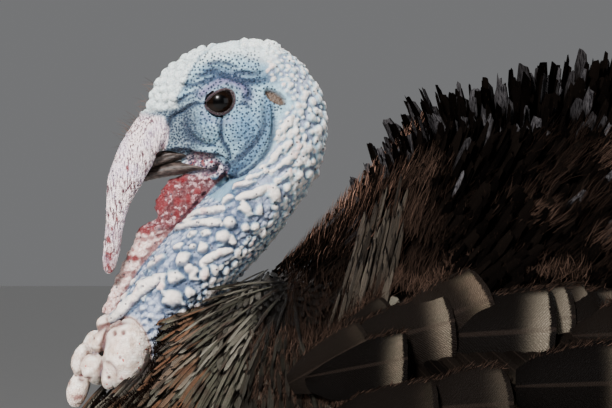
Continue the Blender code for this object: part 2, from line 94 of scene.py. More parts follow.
def points_of(mesh):
    points = np.zeros(len(mesh.vertices) * 3, np.float32)
    mesh.vertices.foreach_get("co", points)
    return points.reshape(-1, 3).astype(float)


def normals_of(mesh):
    normals = np.zeros(len(mesh.vertices) * 3, np.float32)
    mesh.vertex_normals.foreach_get("vector", normals)
    return normals.reshape(-1, 3).astype(float)


def set_points(mesh, points):
    mesh.vertices.foreach_set("co", points.astype(np.float32).ravel())
    mesh.update()


def tree_of(mesh):
    """A mesh as a tree for rays and nearest points."""
    return BVHTree.FromPolygons([v.co[:] for v in mesh.vertices], [p.vertices[:] for p in mesh.polygons])


def linked(name, data):
    """A new object of the scene around some data."""
    obj = bpy.data.objects.new(name, data)
    bpy.context.scene.collection.objects.link(obj)
    return obj


def heading(angle):
    """The unit step (x, z) at an angle in side view."""
    return np.array([math.cos(angle), math.sin(angle)])


def store(mesh, name, values):
    """Keeps four numbers for each vertex under a name that the materials read."""
    layer = mesh.attributes.new(name, "FLOAT_COLOR", "POINT")
    layer.data.foreach_set("color", np.asarray(values, np.float32).ravel())


def smooth_rows(stations, per_span):
    """Catmull-Rom rows through the given rows of numbers."""
    rows = np.array(stations, float)
    padded = np.vstack([2 * rows[0] - rows[1], rows, 2 * rows[-1] - rows[-2]])
    out = []
    for i in range(len(rows) - 1):
        p0, p1, p2, p3 = padded[i : i + 4]
        for t in np.arange(per_span) / per_span:
            bend = 2 * p0 - 5 * p1 + 4 * p2 - p3
            twist = 3 * p1 - p0 - 3 * p2 + p3
            out.append(0.5 * (2 * p1 + (p2 - p0) * t + bend * t**2 + twist * t**3))
    out.append(rows[-1])
    return np.array(out)


def loft_parts(rings):
    """Points and faces of a closed skin over rings, with a fan at each end."""
    count, sides = len(rings), len(rings[0])
    points = np.vstack([*rings, np.mean(rings[0], axis=0), np.mean(rings[-1], axis=0)])
    i = np.arange(sides)
    j = (i + 1) % sides
    k = np.arange(count - 1)[:, None] * sides
    quads = np.stack([k + i, k + j, k + sides + j, k + sides + i], axis=-1).reshape(-1, 4)
    first = np.stack([np.full(sides, count * sides), j, i], axis=-1)
    top = (count - 1) * sides
    last = np.stack([np.full(sides, count * sides + 1), top + i, top + j], axis=-1)
    return points, quads, np.vstack([first, last])


def rib_rings(ribs, sides):
    """Rings for ribs (ax, az, bx, bz, half_width): the two ends of each rib in side view."""
    rings = []
    turn = np.arange(sides) * TURN / sides
    for ax, az, bx, bz, half_width in np.array(ribs):
        a, b = np.array([ax, 0, az]), np.array([bx, 0, bz])
        ring = (a + b) / 2 + np.outer(np.cos(turn), (a - b) / 2)
        ring[:, 1] = np.sin(turn) * half_width
        rings.append(at(ring))
    return rings


def tube_rings(path, sides, flat=1.0):
    """Rings across a path of (x, y, z, radius). flat is the depth over the width, across y."""
    path = np.array(path, float)
    centres, radii = path[:, :3], path[:, 3]
    tangents = np.gradient(centres, axis=0)
    tangents /= np.linalg.norm(tangents, axis=1)[:, None]
    turn = np.arange(sides) * TURN / sides
    rings = []
    for centre, along, radius in zip(centres, tangents, radii):
        across = np.array([0.0, 1.0, 0.0]) - along * along[1]
        if np.linalg.norm(across) < 0.2:
            across = np.array([0.0, 0.0, 1.0]) - along * along[2]
        across /= np.linalg.norm(across)
        up = np.cross(along, across)
        ring = np.outer(np.cos(turn) * flat, across) + np.outer(np.sin(turn), up)
        rings.append(centre + radius * ring)
    return rings


class Shells:
    """Closed shells that are gathered, and then fused into one skin."""

    def __init__(self):
        self.points, self.quads, self.tris, self.count = [], [], [], 0

    def add(self, points, quads, tris):
        self.points.append(points)
        self.quads.append(quads + self.count)
        self.tris.append(tris + self.count)
        self.count += len(points)

    def loft(self, rings):
        self.add(*loft_parts(rings))

    def tube(self, path):
        """A tube through smoothed stations (x, y, z, radius), in millimetres, with rounded ends."""
        path = smooth_rows(path, 6)
        path[[0, -1], 3] *= 0.4
        path[[1, -2], 3] *= 0.8
        self.loft([at(ring) for ring in tube_rings(path, 12)])

    def ball(self, centre, radii, tilt=0.0):
        """An ellipsoid in millimetres, tilted in side view by some degrees about y."""
        turn = np.linspace(0.02, math.pi - 0.02, 17)
        c, s = math.cos(math.radians(tilt)), math.sin(math.radians(tilt))
        rings = []
        for angle in turn:
            around = np.arange(24) * TURN / 24
            ring = np.stack([np.cos(around), np.sin(around), 0 * around], axis=1) * math.sin(angle)
            ring[:, 2] = math.cos(angle)
            ring *= radii
            ring = ring @ np.array([[c, 0, s], [0, 1, 0], [-s, 0, c]]).T
            rings.append(at(ring + np.array(centre)))
        self.loft(rings)

    def fuse(self, name, voxel, passes):
        """One closed mesh over all the shells, smoothed by some passes."""
        raw = mesh_object(name + "_raw", np.vstack(self.points), np.vstack(self.quads),
                          np.vstack(self.tris))
        remesh = raw.modifiers.new("fuse", "REMESH")
        remesh.mode = "VOXEL"
        remesh.voxel_size = voxel
        graph = bpy.context.evaluated_depsgraph_get()
        mesh = bpy.data.meshes.new_from_object(raw.evaluated_get(graph))
        bpy.data.objects.remove(raw)
        set_points(mesh, relaxed(mesh, points_of(mesh), passes))
        mesh.shade_smooth()
        return linked(name, mesh)


def relaxed(mesh, values, passes):
    """Each vertex's values moved halfway to the mean of its neighbours', some times over."""
    ends = np.zeros(len(mesh.edges) * 2, np.int32)
    mesh.edges.foreach_get("vertices", ends)
    a, b = ends.reshape(-1, 2).T
    total = len(mesh.vertices)
    near = np.bincount(a, minlength=total) + np.bincount(b, minlength=total)
    for _ in range(passes):
        sums = np.zeros_like(values)
        for k in range(values.shape[1]):
            sums[:, k] = np.bincount(a, values[b, k], total) + np.bincount(b, values[a, k], total)
        values = values + (sums / near[:, None] - values) * 0.5
    return values


# ---------------------------------------------------------------- fields on the skin


def lattice(cells, seed):
    """A fixed random number from 0 to 1 for each cell of a lattice."""
    x, y, z = (cells.astype(np.int64) * np.array([73856093, 19349663, 83492791])).T
    mixed = (x ^ y ^ z ^ (seed * 2654435761)) & 0xFFFFFFFF
    mixed = ((mixed ^ (mixed >> 15)) * 2246822519) & 0xFFFFFFFF
    mixed = ((mixed ^ (mixed >> 13)) * 3266489917) & 0xFFFFFFFF
    return ((mixed ^ (mixed >> 16)) & 0xFFFFFF) / 0xFFFFFF


def noise(points, size, seed=1):
    """Smooth noise from -1 to 1 with features of about the given size."""
    p = points / size
    cell = np.floor(p)
    f = p - cell
    f = f * f * (3 - 2 * f)
    total = 0.0
    for corner in np.ndindex(2, 2, 2):
        corner = np.array(corner)
        weight = np.prod(np.where(corner, f, 1 - f), axis=1)
        total = total + weight * lattice(cell + corner, seed)
    return total * 2 - 1


def ramp(value, low, high):
    """0 at low, 1 at high, smoothly between."""
    t = np.clip((value - low) / (high - low), 0, 1)
    return t * t * (3 - 2 * t)


def line_distance(x, z, path):
    """Distance in side view to a smoothed path of (x, z), and the share along it."""
    path = smooth_rows(path, 5)
    best = np.full(x.shape, np.inf)
    share = np.zeros(x.shape)
    for k, (a, b) in enumerate(zip(path[:-1], path[1:])):
        d = b - a
        t = np.clip(((x - a[0]) * d[0] + (z - a[1]) * d[1]) / (d @ d), 0, 1)
        away = np.hypot(x - a[0] - t * d[0], z - a[1] - t * d[1])
        near = away < best
        best[near] = away[near]
        share[near] = ((k + t) / (len(path) - 1))[near]
    return best, share


def scatter(points, spacing, rng, start=None):
    """Indices of points picked at random, at least their own spacing apart."""
    order = rng.permutation(len(points))
    picked, places = [], np.zeros((0, 3)) if start is None else start
    buffer = np.zeros((len(points), 3))
    buffer[: len(places)] = places
    count = len(places)
    for index in order:
        if count:
            away = np.abs(buffer[:count] - points[index]).max(axis=1)
            near = np.flatnonzero(away < spacing[index])
            if len(near) and (np.linalg.norm(buffer[near] - points[index], axis=1) < spacing[index]).any():
                continue
        buffer[count] = points[index]
        count += 1
        picked.append(index)
    return np.array(picked)


# ---------------------------------------------------------------- head and neck skin

# Ribs in side view: the rib's two ends, and the half-width.
NECK_RIBS = [
    (-38, -1, -37, -12, 5),
    (-34, 10.5, -34, -22, 11),
    (-27, 19, -26, -28, 15.5),
    (-17, 26, -15, -31, 18.5),
    (-3, 31, -2, -34, 21),
    (12, 33, 4, -38, 22.5),
    (27, 30, 4, -41, 23.5),
    (41, 21, 3, -43, 24.5),
    (51, 5, 1, -44, 25),
    (54, -14, -8, -50, 26),
    (50, -33, -18, -60, 27),
    (40, -52, -28, -70, 28),
    (27, -70, -37.5, -81, 29),
    (13, -86, -46.5, -94, 30),
    (0, -102, -55, -110, 31),
    (-14, -120, -61, -124, 29),
    (-26, -140, -62, -142, 23),
]
SKIN_INSET = 0.6  # the warts stand on a skin this far inside the solids
SNOOD = [  # x, y, z and radius
    (-26, 0, 3, 5),
    (-33, -4, -8, 8.0),
    (-41, -9, -22, 9.8),
    (-48.6, -13.5, -38, 9.0),
    (-52.8, -14, -51, 6.3),
    (-54.9, -13, -65, 4.8),
    (-56.8, -12, -79, 4.1),
    (-58.2, -11, -89, 2.8),
]
DEWLAP = [  # ribs as above, with their rear ends inside the neck
    (2, -33, -16, -35.6, 4.5),
    (3, -38, -23.5, -38.8, 5.4),
    (3, -44, -28.6, -42.2, 5.6),
    (-1, -50, -32.5, -48, 5.6),
    (-7, -57, -34.3, -54, 5.4),
    (-14, -64, -33.4, -60.4, 4.6),
    (-17, -68, -39.6, -63.4, 4.6),
    (-21, -73, -43.6, -68.2, 4.8),
    (-26, -78, -46.6, -74.4, 4.6),
    (-32, -85, -50.6, -81.4, 5.0),
    (-38, -93, -53.6, -89.6, 5.0),
    (-45, -103, -58.5, -101, 4.6),
    (-50, -111, -62, -109, 4.0),
]
THROAT = [
    (3, -38.8), (-3.1, -42.4), (-9.2, -48.5), (-16.7, -57.4), (-24.9, -65.5), (-33.7, -74.4), (-43.2, -86),
]
LOBES = [  # centre, half-sizes and tilt
    ((-48.3, -23, -129.6), (12.2, 13.0, 18.2), 12),
    ((-48, 22, -130), (11.0, 12, 16.5), 8),
    ((-57.0, -22, -141.0), (4.4, 6.4, 7.0), 10),
    ((-65.2, -13, -137.0), (6.6, 9.0, 7.8), 4),
    ((-63.5, 10, -138), (7.4, 9, 9), 8),
    ((-62.4, -13, -123.6), (5.2, 7.6, 6.6), 25),
    ((-66, 3, -127), (6, 8, 9), 20),
    ((-72.2, -2, -133.4), (4.8, 7, 8.6), 12),
    ((-74.2, 0, -149.2), (5.8, 6.8, 9.2), 14),
    ((-59, -7, -116), (5.6, 7.0, 6.2), 30),
]
PITS = [
    (-54.4, -118.9, 1.1), (-49.4, -118.6, 1.2), (-57.2, -142.0, 0.9), (-36.0, -112.3, 1.0),
    (-40.0, -100.4, 0.8), (-31.0, -91.6, 0.7), (-65.6, -121.6, 0.7), (-13.2, -84.2, 0.7),
    (-21.5, -91.5, 0.6), (-32.2, -83.2, 0.9), (-14.8, -69.0, 0.7), (-8.4, -68.4, 0.7), (1.2, -61.8, 0.6),
    (-10.4, -62.0, 0.6),
]
# The eye's opening in side view, from its front corner over the top and back below.
OPENING = [
    (-6.7, -0.8), (-3.9, 2.5), (-0.9, 4.4), (2.4, 5.5), (5.0, 4.9), (6.2, 2.6),
    (5.9, -0.6), (4.5, -3.0), (2.4, -4.6), (0.0, -5.3), (-2.6, -4.7), (-5.0, -3.3),
]
# Folds over the head's sides: x, z and radius.
BROW = [
    (-27, 6, 3.5), (-18, 11.5, 4.5), (-8, 17, 5), (2, 20, 5.5), (12, 18, 5.5), (22, 16.5, 5), (30, 15, 3.5),
]
UPPER_LID = [
    (-11, 3.2, 1.8), (-6.5, 6.6, 2.8), (0.5, 9.6, 3.2), (6.5, 9.6, 3.2), (11.0, 6.4, 2.8), (12.6, 2.2, 2.0),
]
LID_RIDGE = [(-12, 5.0, 2.2), (-18, 4.0, 3.0), (-24, 2.5, 3.2), (-29, 0, 2.4)]
JAW_STRIP = [
    (24.6, 2, 1.8), (24.8, -8, 2.6), (23.2, -17, 3.0), (18, -25.4, 3.2), (11, -31.4, 3.2), (3, -36.5, 2.6),
]
MOUTH_FLESH = [(-1.5, -30, 2.6), (-8, -31, 3.6), (-15, -31.8, 3.6), (-22, -33.2, 2.2)]
CORNER = [(1.2, -32.5, 2.4), (-0.6, -36.4, 2.6), (-4.6, -38.6, 2.2)]
MUZZLE = [(-31, -23.5, 2.2), (-24, -22.4, 3.0), (-15, -22.0, 3.4), (-7, -23.6, 3.2), (-1, -25.4, 2.6)]
RIDGES = [  # the long warts on the sides of the neck
    [(9.8, -49.6, 2.0), (15.9, -47.6, 2.4), (23.4, -44.2, 2.2)],
    [(-18, -61.4, 1.6), (-12, -57.9, 2.3), (-5.2, -56.4, 2.5), (1.4, -55.7, 2.2)],
    [(-24.5, -66.2, 1.6), (-18.1, -64.2, 2.4), (-11, -62.4, 2.8), (-3.8, -62.3, 2.6), (0.4, -62.8, 2.0)],
    [(-9.3, -82.9, 1.6), (-3.1, -78.8, 2.2), (5, -76.1, 1.9)],
    [(-30.0, -91.0, 2.6), (-37.5, -96.6, 3.3), (-44.2, -102.7, 3.3), (-50, -108.5, 3.6),
     (-55, -112.3, 4.4)],
    [(-40.5, -94.8, 2.0), (-34.5, -92.8, 2.6)],
    [(26, -36, 1.7), (32, -32, 2.0), (38, -27.5, 2.0)],
    [(21, -34.5, 1.6), (28, -28.5, 2.0), (33, -22, 1.9)],
    [(29, -40.5, 1.7), (35.5, -36.5, 2.0)],
    [(28.5, -19, 1.5), (33, -13, 1.9), (37, -6.5, 1.7)],
    [(14, -39.6, 1.5), (19.5, -37.4, 1.9), (24, -34.6, 1.6)],
]
JAW_PATH = [point[:2] for point in JAW_STRIP]
WARTS = [  # x, z, half-length, half-width and tilt in degrees
    (12.2, -42.8, 5.1, 2.4, 4), (4.3, -49.8, 3.8, 2.1, 12), (5.0, -62, 3.7, 3.5, 80),
    (12.5, -63.9, 2.6, 2.3, 60), (17.6, -63.9, 2.5, 2.3, 0), (13.2, -55, 4.1, 3.0, 105),
    (20, -55.5, 3.2, 2.2, 75), (27.5, -46.9, 4.5, 3.4, 110), (28.1, -54, 2.2, 2.0, 0),
    (40.4, -37.4, 3.0, 2.8, 0), (45.1, -37, 2.7, 2.6, 0), (32.9, -57.4, 2.4, 2.0, 150),
    (1.3, -69.3, 4.4, 3.5, 30), (5.7, -70.9, 3.4, 2.4, 100), (-14.7, -68.6, 2.8, 2.0, 10),
    (-7.2, -68.1, 3.2, 2.1, 5), (-21.8, -75.1, 3.6, 2.5, 12), (-8.6, -75.4, 3.1, 2.6, 70),
    (-14, -74.4, 2.4, 2.0, 0), (-32.4, -83, 7.2, 3.2, 12), (-18.6, -81.6, 4.8, 4.2, 60),
    (-15.5, -85.5, 3.4, 3.0, 60), (-22.5, -90.6, 4.8, 3.6, 30), (-13.3, -88.3, 3.3, 2.5, 80),
    (-8.4, -88.6, 4.1, 2.8, 85), (-3.1, -86.3, 2.8, 2.5, 90), (2.3, -86.8, 2.6, 2.3, 90),
    (7.1, -82.6, 2.6, 2.0, 90), (8.4, -77.5, 2.8, 2.1, 95), (12, -77, 3.0, 2.1, 95),
    (-24.7, -101, 5.0, 4.7, 0), (-15.4, -97.7, 2.7, 2.6, 0), (-49, -101, 3.8, 2.8, 30),
    (-44.5, -93.5, 3.6, 2.4, 40), (-30, -95.5, 3.0, 2.2, 20), (22, -68, 2.4, 2.0, 60),
    (35, -22, 3.2, 2.2, 50), (39, -15, 2.8, 2.2, 70), (40, -31.5, 2.6, 2.2, 40), (34, -44, 2.6, 2.2, 60),
]
CREASES = [  # path in side view, depth and half-width
    ([(-8.3, -0.4), (-14.6, -1.4), (-19.4, -4.5), (-24.3, -6.8), (-26.4, -10), (-28.5, -19), (-31, -24)],
     2.4, 0.9),
    ([(-21.5, 9.4), (-13.9, 8.9), (-5.5, 11.8), (1, 14.0)], 0.9, 0.8),
    ([(-6, 16.0), (-2.7, 15.2), (5.6, 13.0), (13.3, 10.6), (22.3, 11.4), (26.5, 12.6)], 1.3, 1.2),
    ([(9, -1.2), (12.6, -0.8), (16, -3.0)], 0.8, 0.8),
    ([(-7, 18.8), (-2, 20.4), (4, 19.4), (9, 17.6)], 0.7, 0.9),
    ([(6, 14.2), (11, 15.4), (17, 14.4), (23, 15.6)], 0.9, 0.9),
    ([(-13, 14.0), (-8.6, 13.8), (-4, 15.6)], 0.7, 0.8),
    ([(-12, 5.6), (-17, 3.4), (-22.5, -0.6), (-27, -3.2)], 0.7, 0.7),
    ([(14.2, 9.0), (15.6, 4.6), (13.2, -0.6)], 0.8, 0.8),
    ([(21.6, 1), (22.4, -9.4), (20.9, -15.7), (17.2, -21.2), (12.0, -26.8), (7.2, -31.2), (4.0, -34.5)],
     1.8, 1.0),
    ([(17.5, -14), (15, -20.5), (9.5, -26.5)], 0.5, 0.8),
    ([(0.8, -8), (0.4, -14), (0.9, -20), (4.2, -26.1), (5.0, -31)], 1.5, 0.9),
    ([(27, -3), (27.6, -12), (25.8, -22), (20.5, -30), (12.5, -36.3), (3, -39.4), (-2.7, -41.8)], 1.9, 0.9),
    (THROAT, 1.5, 0.8),
    ([(-43.2, -86), (-50, -99), (-56, -110)], 1.3, 0.8),
    ([(-16.7, -6.6), (-17.2, -13.6), (-13.0, -19.6), (-6.0, -22.6)], 1.1, 1.6),
    ([(-13.5, -9.5), (-13.0, -14.5), (-9.0, -18.6), (-3.5, -20)], 0.5, 0.7),
    ([(-10.6, -9.5), (-10, -13.5), (-7.0, -16.3), (-2.6, -17.6)], 0.45, 0.7),
    ([(-8, -10.5), (-7.2, -12.8), (-4.6, -14.6), (-1.6, -15.2)], 0.35, 0.6),
    ([(-35, -27.6), (-24.6, -25.0), (-17.7, -24.9), (-12.9, -26.6), (-0.7, -27.9), (2.2, -29.6)], 1.6, 0.8),
    ([(-19, -35.0), (-12, -35.6), (-7, -36.2), (-3.4, -35.6)], 1.5, 0.8),
    ([(2.4, -29), (3.6, -33.5), (2.0, -37.6)], 1.2, 0.8),
    ([(-2.6, -31), (-2.2, -34.4), (-5.4, -37)], 0.9, 0.7),
    ([(-43.5, -70.6), (-38, -70.8), (-31.5, -68.8), (-27.5, -67.2)], 1.8, 0.8),
    ([(-34, -60.8), (-30.2, -63.2), (-28.6, -66.6)], 1.6, 0.8),
    ([(-59.2, -131), (-61.2, -136.6), (-61.2, -144)], 0.4, 0.7),
    ([(-60, -133.4), (-56.4, -134.4), (-53.4, -137.6), (-53.0, -142)], 0.5, 0.7),
    ([(-66, -118.4), (-60, -115.6), (-53, -114.2), (-46.5, -113.4)], 1.2, 0.9),
    ([(-70.4, -125), (-67, -129.4), (-61, -129.6)], 0.5, 0.7),
    ([(-76, -141), (-71, -143.6), (-66.5, -142.4)], 1.4, 0.8),
    ([(-57.6, -113.6), (-59.0, -119.5), (-60.4, -126), (-61.4, -131)], 0.9, 0.8),
]
EAR = (28.6, 2.6)
EAR_SIZE = (7.0, 3.1)
EAR_TILT = math.radians(-32)
RED_SPOTS = [  # on the snood: x, z and half-sizes
    (-48.2, -34.3, 0.7, 1.5), (-45.2, -36.0, 0.5, 1.1), (-53.8, -59.8, 0.8, 1.7), (-55.8, -65.1, 1.0, 1.5),
    (-58.0, -71.0, 1.6, 1.8), (-57.5, -79.0, 2.2, 1.8), (-57.6, -85.5, 2.0, 2.2),
]
LOBE_REDS = [
    (-74.0, -152.6, 2.8, 1.5), (-78.6, -144.0, 0.8, 2.4), (-72.6, -141.4, 1.0, 1.0),
    (-51.2, -131.0, 0.8, 0.9), (-50.4, -142.0, 0.8, 0.6),
]
MOUTH_REDS = [(-14.6, -31.6, 1.3, 1.2), (-9.4, -31.2, 1.2, 1.4), (-4.5, -30.6, 0.8, 0.8)]
RED_PATCHES = [  # on the dewlap
    (-27.5, -44.5, 2.6, 3.2), (-31.6, -51.5, 2.6, 4.6), (-21.5, -51.0, 4.0, 1.6), (-12.6, -45.8, 2.2, 1.6),
    (-16.5, -48.8, 1.4, 1.2), (-22.5, -58.0, 1.6, 2.4), (-38.5, -66.4, 4.4, 2.0), (-46.0, -80.5, 3.6, 1.2),
    (-20.5, -39.6, 3.0, 1.2),
]


def lid_path(grow):
    """The eye's opening as a smooth closed ring in side view, grown by some millimetres."""
    corners = np.array(OPENING)
    closed = np.vstack([corners[-2:], corners, corners[:3]])
    ring = smooth_rows(closed, 5)[10:-10][:-1]
    step = np.roll(ring, -1, axis=0) - np.roll(ring, 1, axis=0)
    step /= np.linalg.norm(step, axis=1)[:, None]
    return ring + np.stack([-step[:, 1], step[:, 0]], 1) * grow


def add_lid(shells, sign, grow, radius, lift):
    """A closed rim round the eye: a tube whose first and last ring meet, resting on the eyeball."""
    path = lid_path(grow)
    out = np.sqrt(np.maximum((EYE_R + lift) ** 2 - (path**2).sum(1), 2.0)) + EYE_OUT
    centres = np.stack([path[:, 0], sign * out, path[:, 1]], axis=1)
    sides = 10
    turn = np.arange(sides) * TURN / sides
    rings = []
    for k, centre in enumerate(centres):
        along = centres[(k + 1) % len(centres)] - centres[k - 1]
        along /= np.linalg.norm(along)
        across = np.cross(along, [0, 1, 0])
        across /= np.linalg.norm(across)
        up = np.cross(along, across)
        rings.append(at(centre + radius * (np.outer(np.cos(turn), across) + np.outer(np.sin(turn), up))))
    points = np.vstack(rings)
    k = np.arange(len(rings))[:, None] * sides
    n = (np.arange(len(rings))[:, None] + 1) % len(rings) * sides
    i = np.arange(sides)
    j = (i + 1) % sides
    quads = np.stack([k + i, k + j, n + j, n + i], axis=-1).reshape(-1, 4)
    shells.add(points, quads, np.zeros((0, 3), int))


def head_side(x, z):
    """Half-width of the bare head and neck at a point in side view, between its ribs."""
    ribs = smooth_rows(NECK_RIBS, 8)
    a, b, w = ribs[:, :2], ribs[:, 2:4], ribs[:, 4]
    p = np.array([x, z])
    axis = (a - b) / 2
    reach = np.linalg.norm(axis, axis=1)
    off = p - (a + b) / 2
    along = (off * axis).sum(1) / reach
    across = np.linalg.norm(off - along[:, None] * axis / reach[:, None], axis=1)
    k = int(np.argmin(across + 10 * (np.abs(along) > reach)))
    share = min(abs(along[k]) / reach[k], 0.98)
    return w[k] * math.sqrt(1 - share**2) - SKIN_INSET


def fold(shells, sign, path, sink):
    """A ridge of flesh over the head's side, through (x, z, radius), sunk by a share of the radius."""
    shells.tube([(x, sign * (head_side(x, z) - r * sink), z, r) for x, z, r in path])


def head_shells():
    """Head, neck, snood, dewlap and lobes, with the folds and rims that stand on them."""
    shells = Shells()
    ribs = smooth_rows(NECK_RIBS, 6)
    ribs[:, 4] -= SKIN_INSET
    half = (ribs[:, 0:2] - ribs[:, 2:4]) / 2
    length = np.linalg.norm(half, axis=1)[:, None]
    ribs[:, 0:2] -= half / length * SKIN_INSET
    ribs[:, 2:4] += half / length * SKIN_INSET
    shells.loft(rib_rings(ribs, 72))
    snood = smooth_rows(SNOOD, 6)
    snood[-1, 3] = 0.8
    snood[-2, 3] = 2.4
    shells.loft([at(ring) for ring in tube_rings(snood, 32, 0.66)])
    shells.loft(rib_rings(smooth_rows(DEWLAP, 5), 28))
    for centre, radii, tilt in LOBES:
        shells.ball(centre, radii, tilt)
    folds = [(BROW, 0.66), (UPPER_LID, 0.05), (LID_RIDGE, 0.45), (JAW_STRIP, 0.42), (MOUTH_FLESH, 0.15)]
    folds += [(CORNER, 0.0), (MUZZLE, 0.45), *((ridge, 0.35) for ridge in RIDGES)]
    for _, sign in SIDES:
        shells.ball((11, sign * 13.4, -12.0), (11.0, 10.2, 12.0))
        shells.ball((-6, sign * 10.6, -14.0), (10.0, 10.4, 8.6))
        for path, sink in folds:
            fold(shells, sign, path, sink)
        for grow, radius, lift in ((0.5, 0.55, 0.25), (1.4, 0.65, 0.05), (2.5, 0.9, -0.8)):
            add_lid(shells, sign, grow, radius, lift)
    return shells


SNOOD_BRISTLES, BROW_BRISTLES = 70, 40
BRISTLE_WIDTH = 0.13  # mm


def bristles(skin, material):
    """Sparse fine hairs that stand on the forehead and the front of the snood."""
    points = (points_of(skin.data) - EYES) / MM
    normals = normals_of(skin.data)
    x, y, z = points.T
    rng = np.random.default_rng(12)
    on_snood = (np.abs(x + 40 + 0.4 * (z + 20)) < 11) & (z > -36) & (z < -3) & (x < -28)
    on_snood &= (snood_share(points) > 0.8) & (normals[:, 0] < -0.25)
    on_brow = (x < -24) & (x > -40) & (z > -6) & (z < 10) & (normals[:, 0] < -0.3)
    picked = np.concatenate([rng.choice(np.flatnonzero(on_snood), SNOOD_BRISTLES),
                             rng.choice(np.flatnonzero(on_brow), BROW_BRISTLES)])
    count = len(picked)
    out = unit(normals[picked] * 0.6 + rng.normal(0, 0.35, (count, 3)) + np.array([-0.5, 0, 0.25]))
    length = rng.uniform(3, 10, (count, 1))
    root, tip = points[picked] - normals[picked] * 0.3, points[picked] + out * length
    middle = (root + tip) / 2 + np.array([0, 0, 0.8])
    across = unit(np.cross(out, rng.normal(0, 1, (count, 3))))
    size = np.full(count, PATCH)
    patch = np.stack([0.5 + y[picked] / 200, 0.5 + z[picked] / 300, size, size], 1)
    tone = rng.random(count)
    kind = kinds(count, rust=1.0, bright=0.5 * rng.random(count))
    piece = vanes("forehead_bristles", at(bezier(root, middle, tip, 5)), across,
                  unit(np.cross(across, out)), np.full(count, BRISTLE_WIDTH * MM), HAIR, tone, kind,
                  patch, 3, camber=0.4, fray=0.0, seed=13)
    finish_piece(piece, material, "beard")


WART_GAP = 1.66  # between the scattered warts' middles, in radii


def wart_edge(z):
    """How far back the smooth face reaches at a height; the warts begin there."""
    return np.interp(-z, [-40, -14, 0, 10, 23, 31, 38, 60], [21, 24, 38, 30, 27.5, 21.5, 12.5, 0])


def wart_size(x, z):
    """Radius of the scattered warts at a place, and 0 where the skin has none."""
    behind_jaw, _ = line_distance(
        x, z, [(30, 14), (31, 2), (28.5, -8), (26, -23), (20, -31), (12, -37.5), (0, -42)])
    back = ramp(x - wart_edge(z), 0, 1.5) * ramp(behind_jaw, 0.5, 1.5) * ramp(x, 0, 10)
    below = ramp(-z - 0.35 * (x + 10), 46, 50)
    amount = np.maximum(back, below)
    size = 1.55 + 0.9 * ramp(x, 38, 50) * ramp(z, -60, -30) + 0.3 * ramp(-z, 60, 100)
    return np.where(amount > 0.5, size, 0)


def lumpy(x, y, z):
    """1 on the flanks of the neck, where small lumps are low and blue, and 0 at the nape."""
    throat, _ = line_distance(x, z, [*THROAT, (-50, -99), (-58, -112)])
    return (1 - ramp(throat, 26, 36)) * ramp(np.abs(y), 4, 8)


def raise_wart(tree, points, wobble, place, normal, size, slope, rise, height, pearl, whiteness=1.0):
    """Adds one wart, an ellipsoid cap of half-sizes size along and across its slope."""
    flow = np.array([math.cos(slope), 0, math.sin(slope)])
    flow -= normal * (flow @ normal)
    flow /= np.linalg.norm(flow) + 1e-9
    other = np.cross(normal, flow)
    for _, near, _ in tree.find_range(place, max(size) * 1.2):
        offset = points[near] - place
        q = (offset @ flow / size[0]) ** 2 + (offset @ other / size[1]) ** 2
        q = q + (offset @ normal / max(size)) ** 2
        q *= wobble[near]
        if q < 1:
            cap = math.sqrt(1 - q)
            height[near] = max(height[near], rise * cap)
            pearl[near] = max(pearl[near], cap * whiteness)


def add_ridges(points, wobble, height, pearl):
    """The long swellings of the warty skin, broken up behind the jaw."""
    x, y, z = points.T
    ridge_away = np.full(len(points), np.inf)
    broken = ramp(noise(points, 3.0, 22), 0.35, -0.15)
    for ridge in RIDGES:
        path = np.array(ridge)
        away, _ = line_distance(x, z, path[:, :2])
        away = away / path[:, 2].mean() + (broken * 0.55 if path[0, 0] > 13 else 0)
        ridge_away = np.minimum(ridge_away, away)
    beside = ramp(np.abs(y), 9, 13)
    swell = beside * np.sqrt(np.clip(1 - (ridge_away / 1.05) ** 2 * wobble, 0, 1))
    pearl[:] = np.maximum(pearl, swell)
    thick = np.interp(x, [-56, -30, -20], [3.0, 2.6, 1.5])
    height[:] = np.maximum(height, swell * thick)


def add_named_warts(tree, points, normals, wobble, height, pearl, rng):
    """The warts of the table on both sides, a little shifted on the right; returns their places."""
    taken = []
    for sign in (-1, 1):
        for wx, wz, long, short, tilt in WARTS:
            shift = rng.uniform(-0.5, 0.5, 2) if sign > 0 else (0, 0)
            middle = (wx + shift[0], sign * (head_side(wx, wz) + 0.5), wz + shift[1])
            _, index, _ = tree.find(middle)
            raise_wart(tree, points, wobble, points[index], normals[index], (long * 1.1, short * 1.1),
                       math.radians(tilt), short * 1.15, height, pearl)
            taken.append(points[index])
    return np.array(taken)


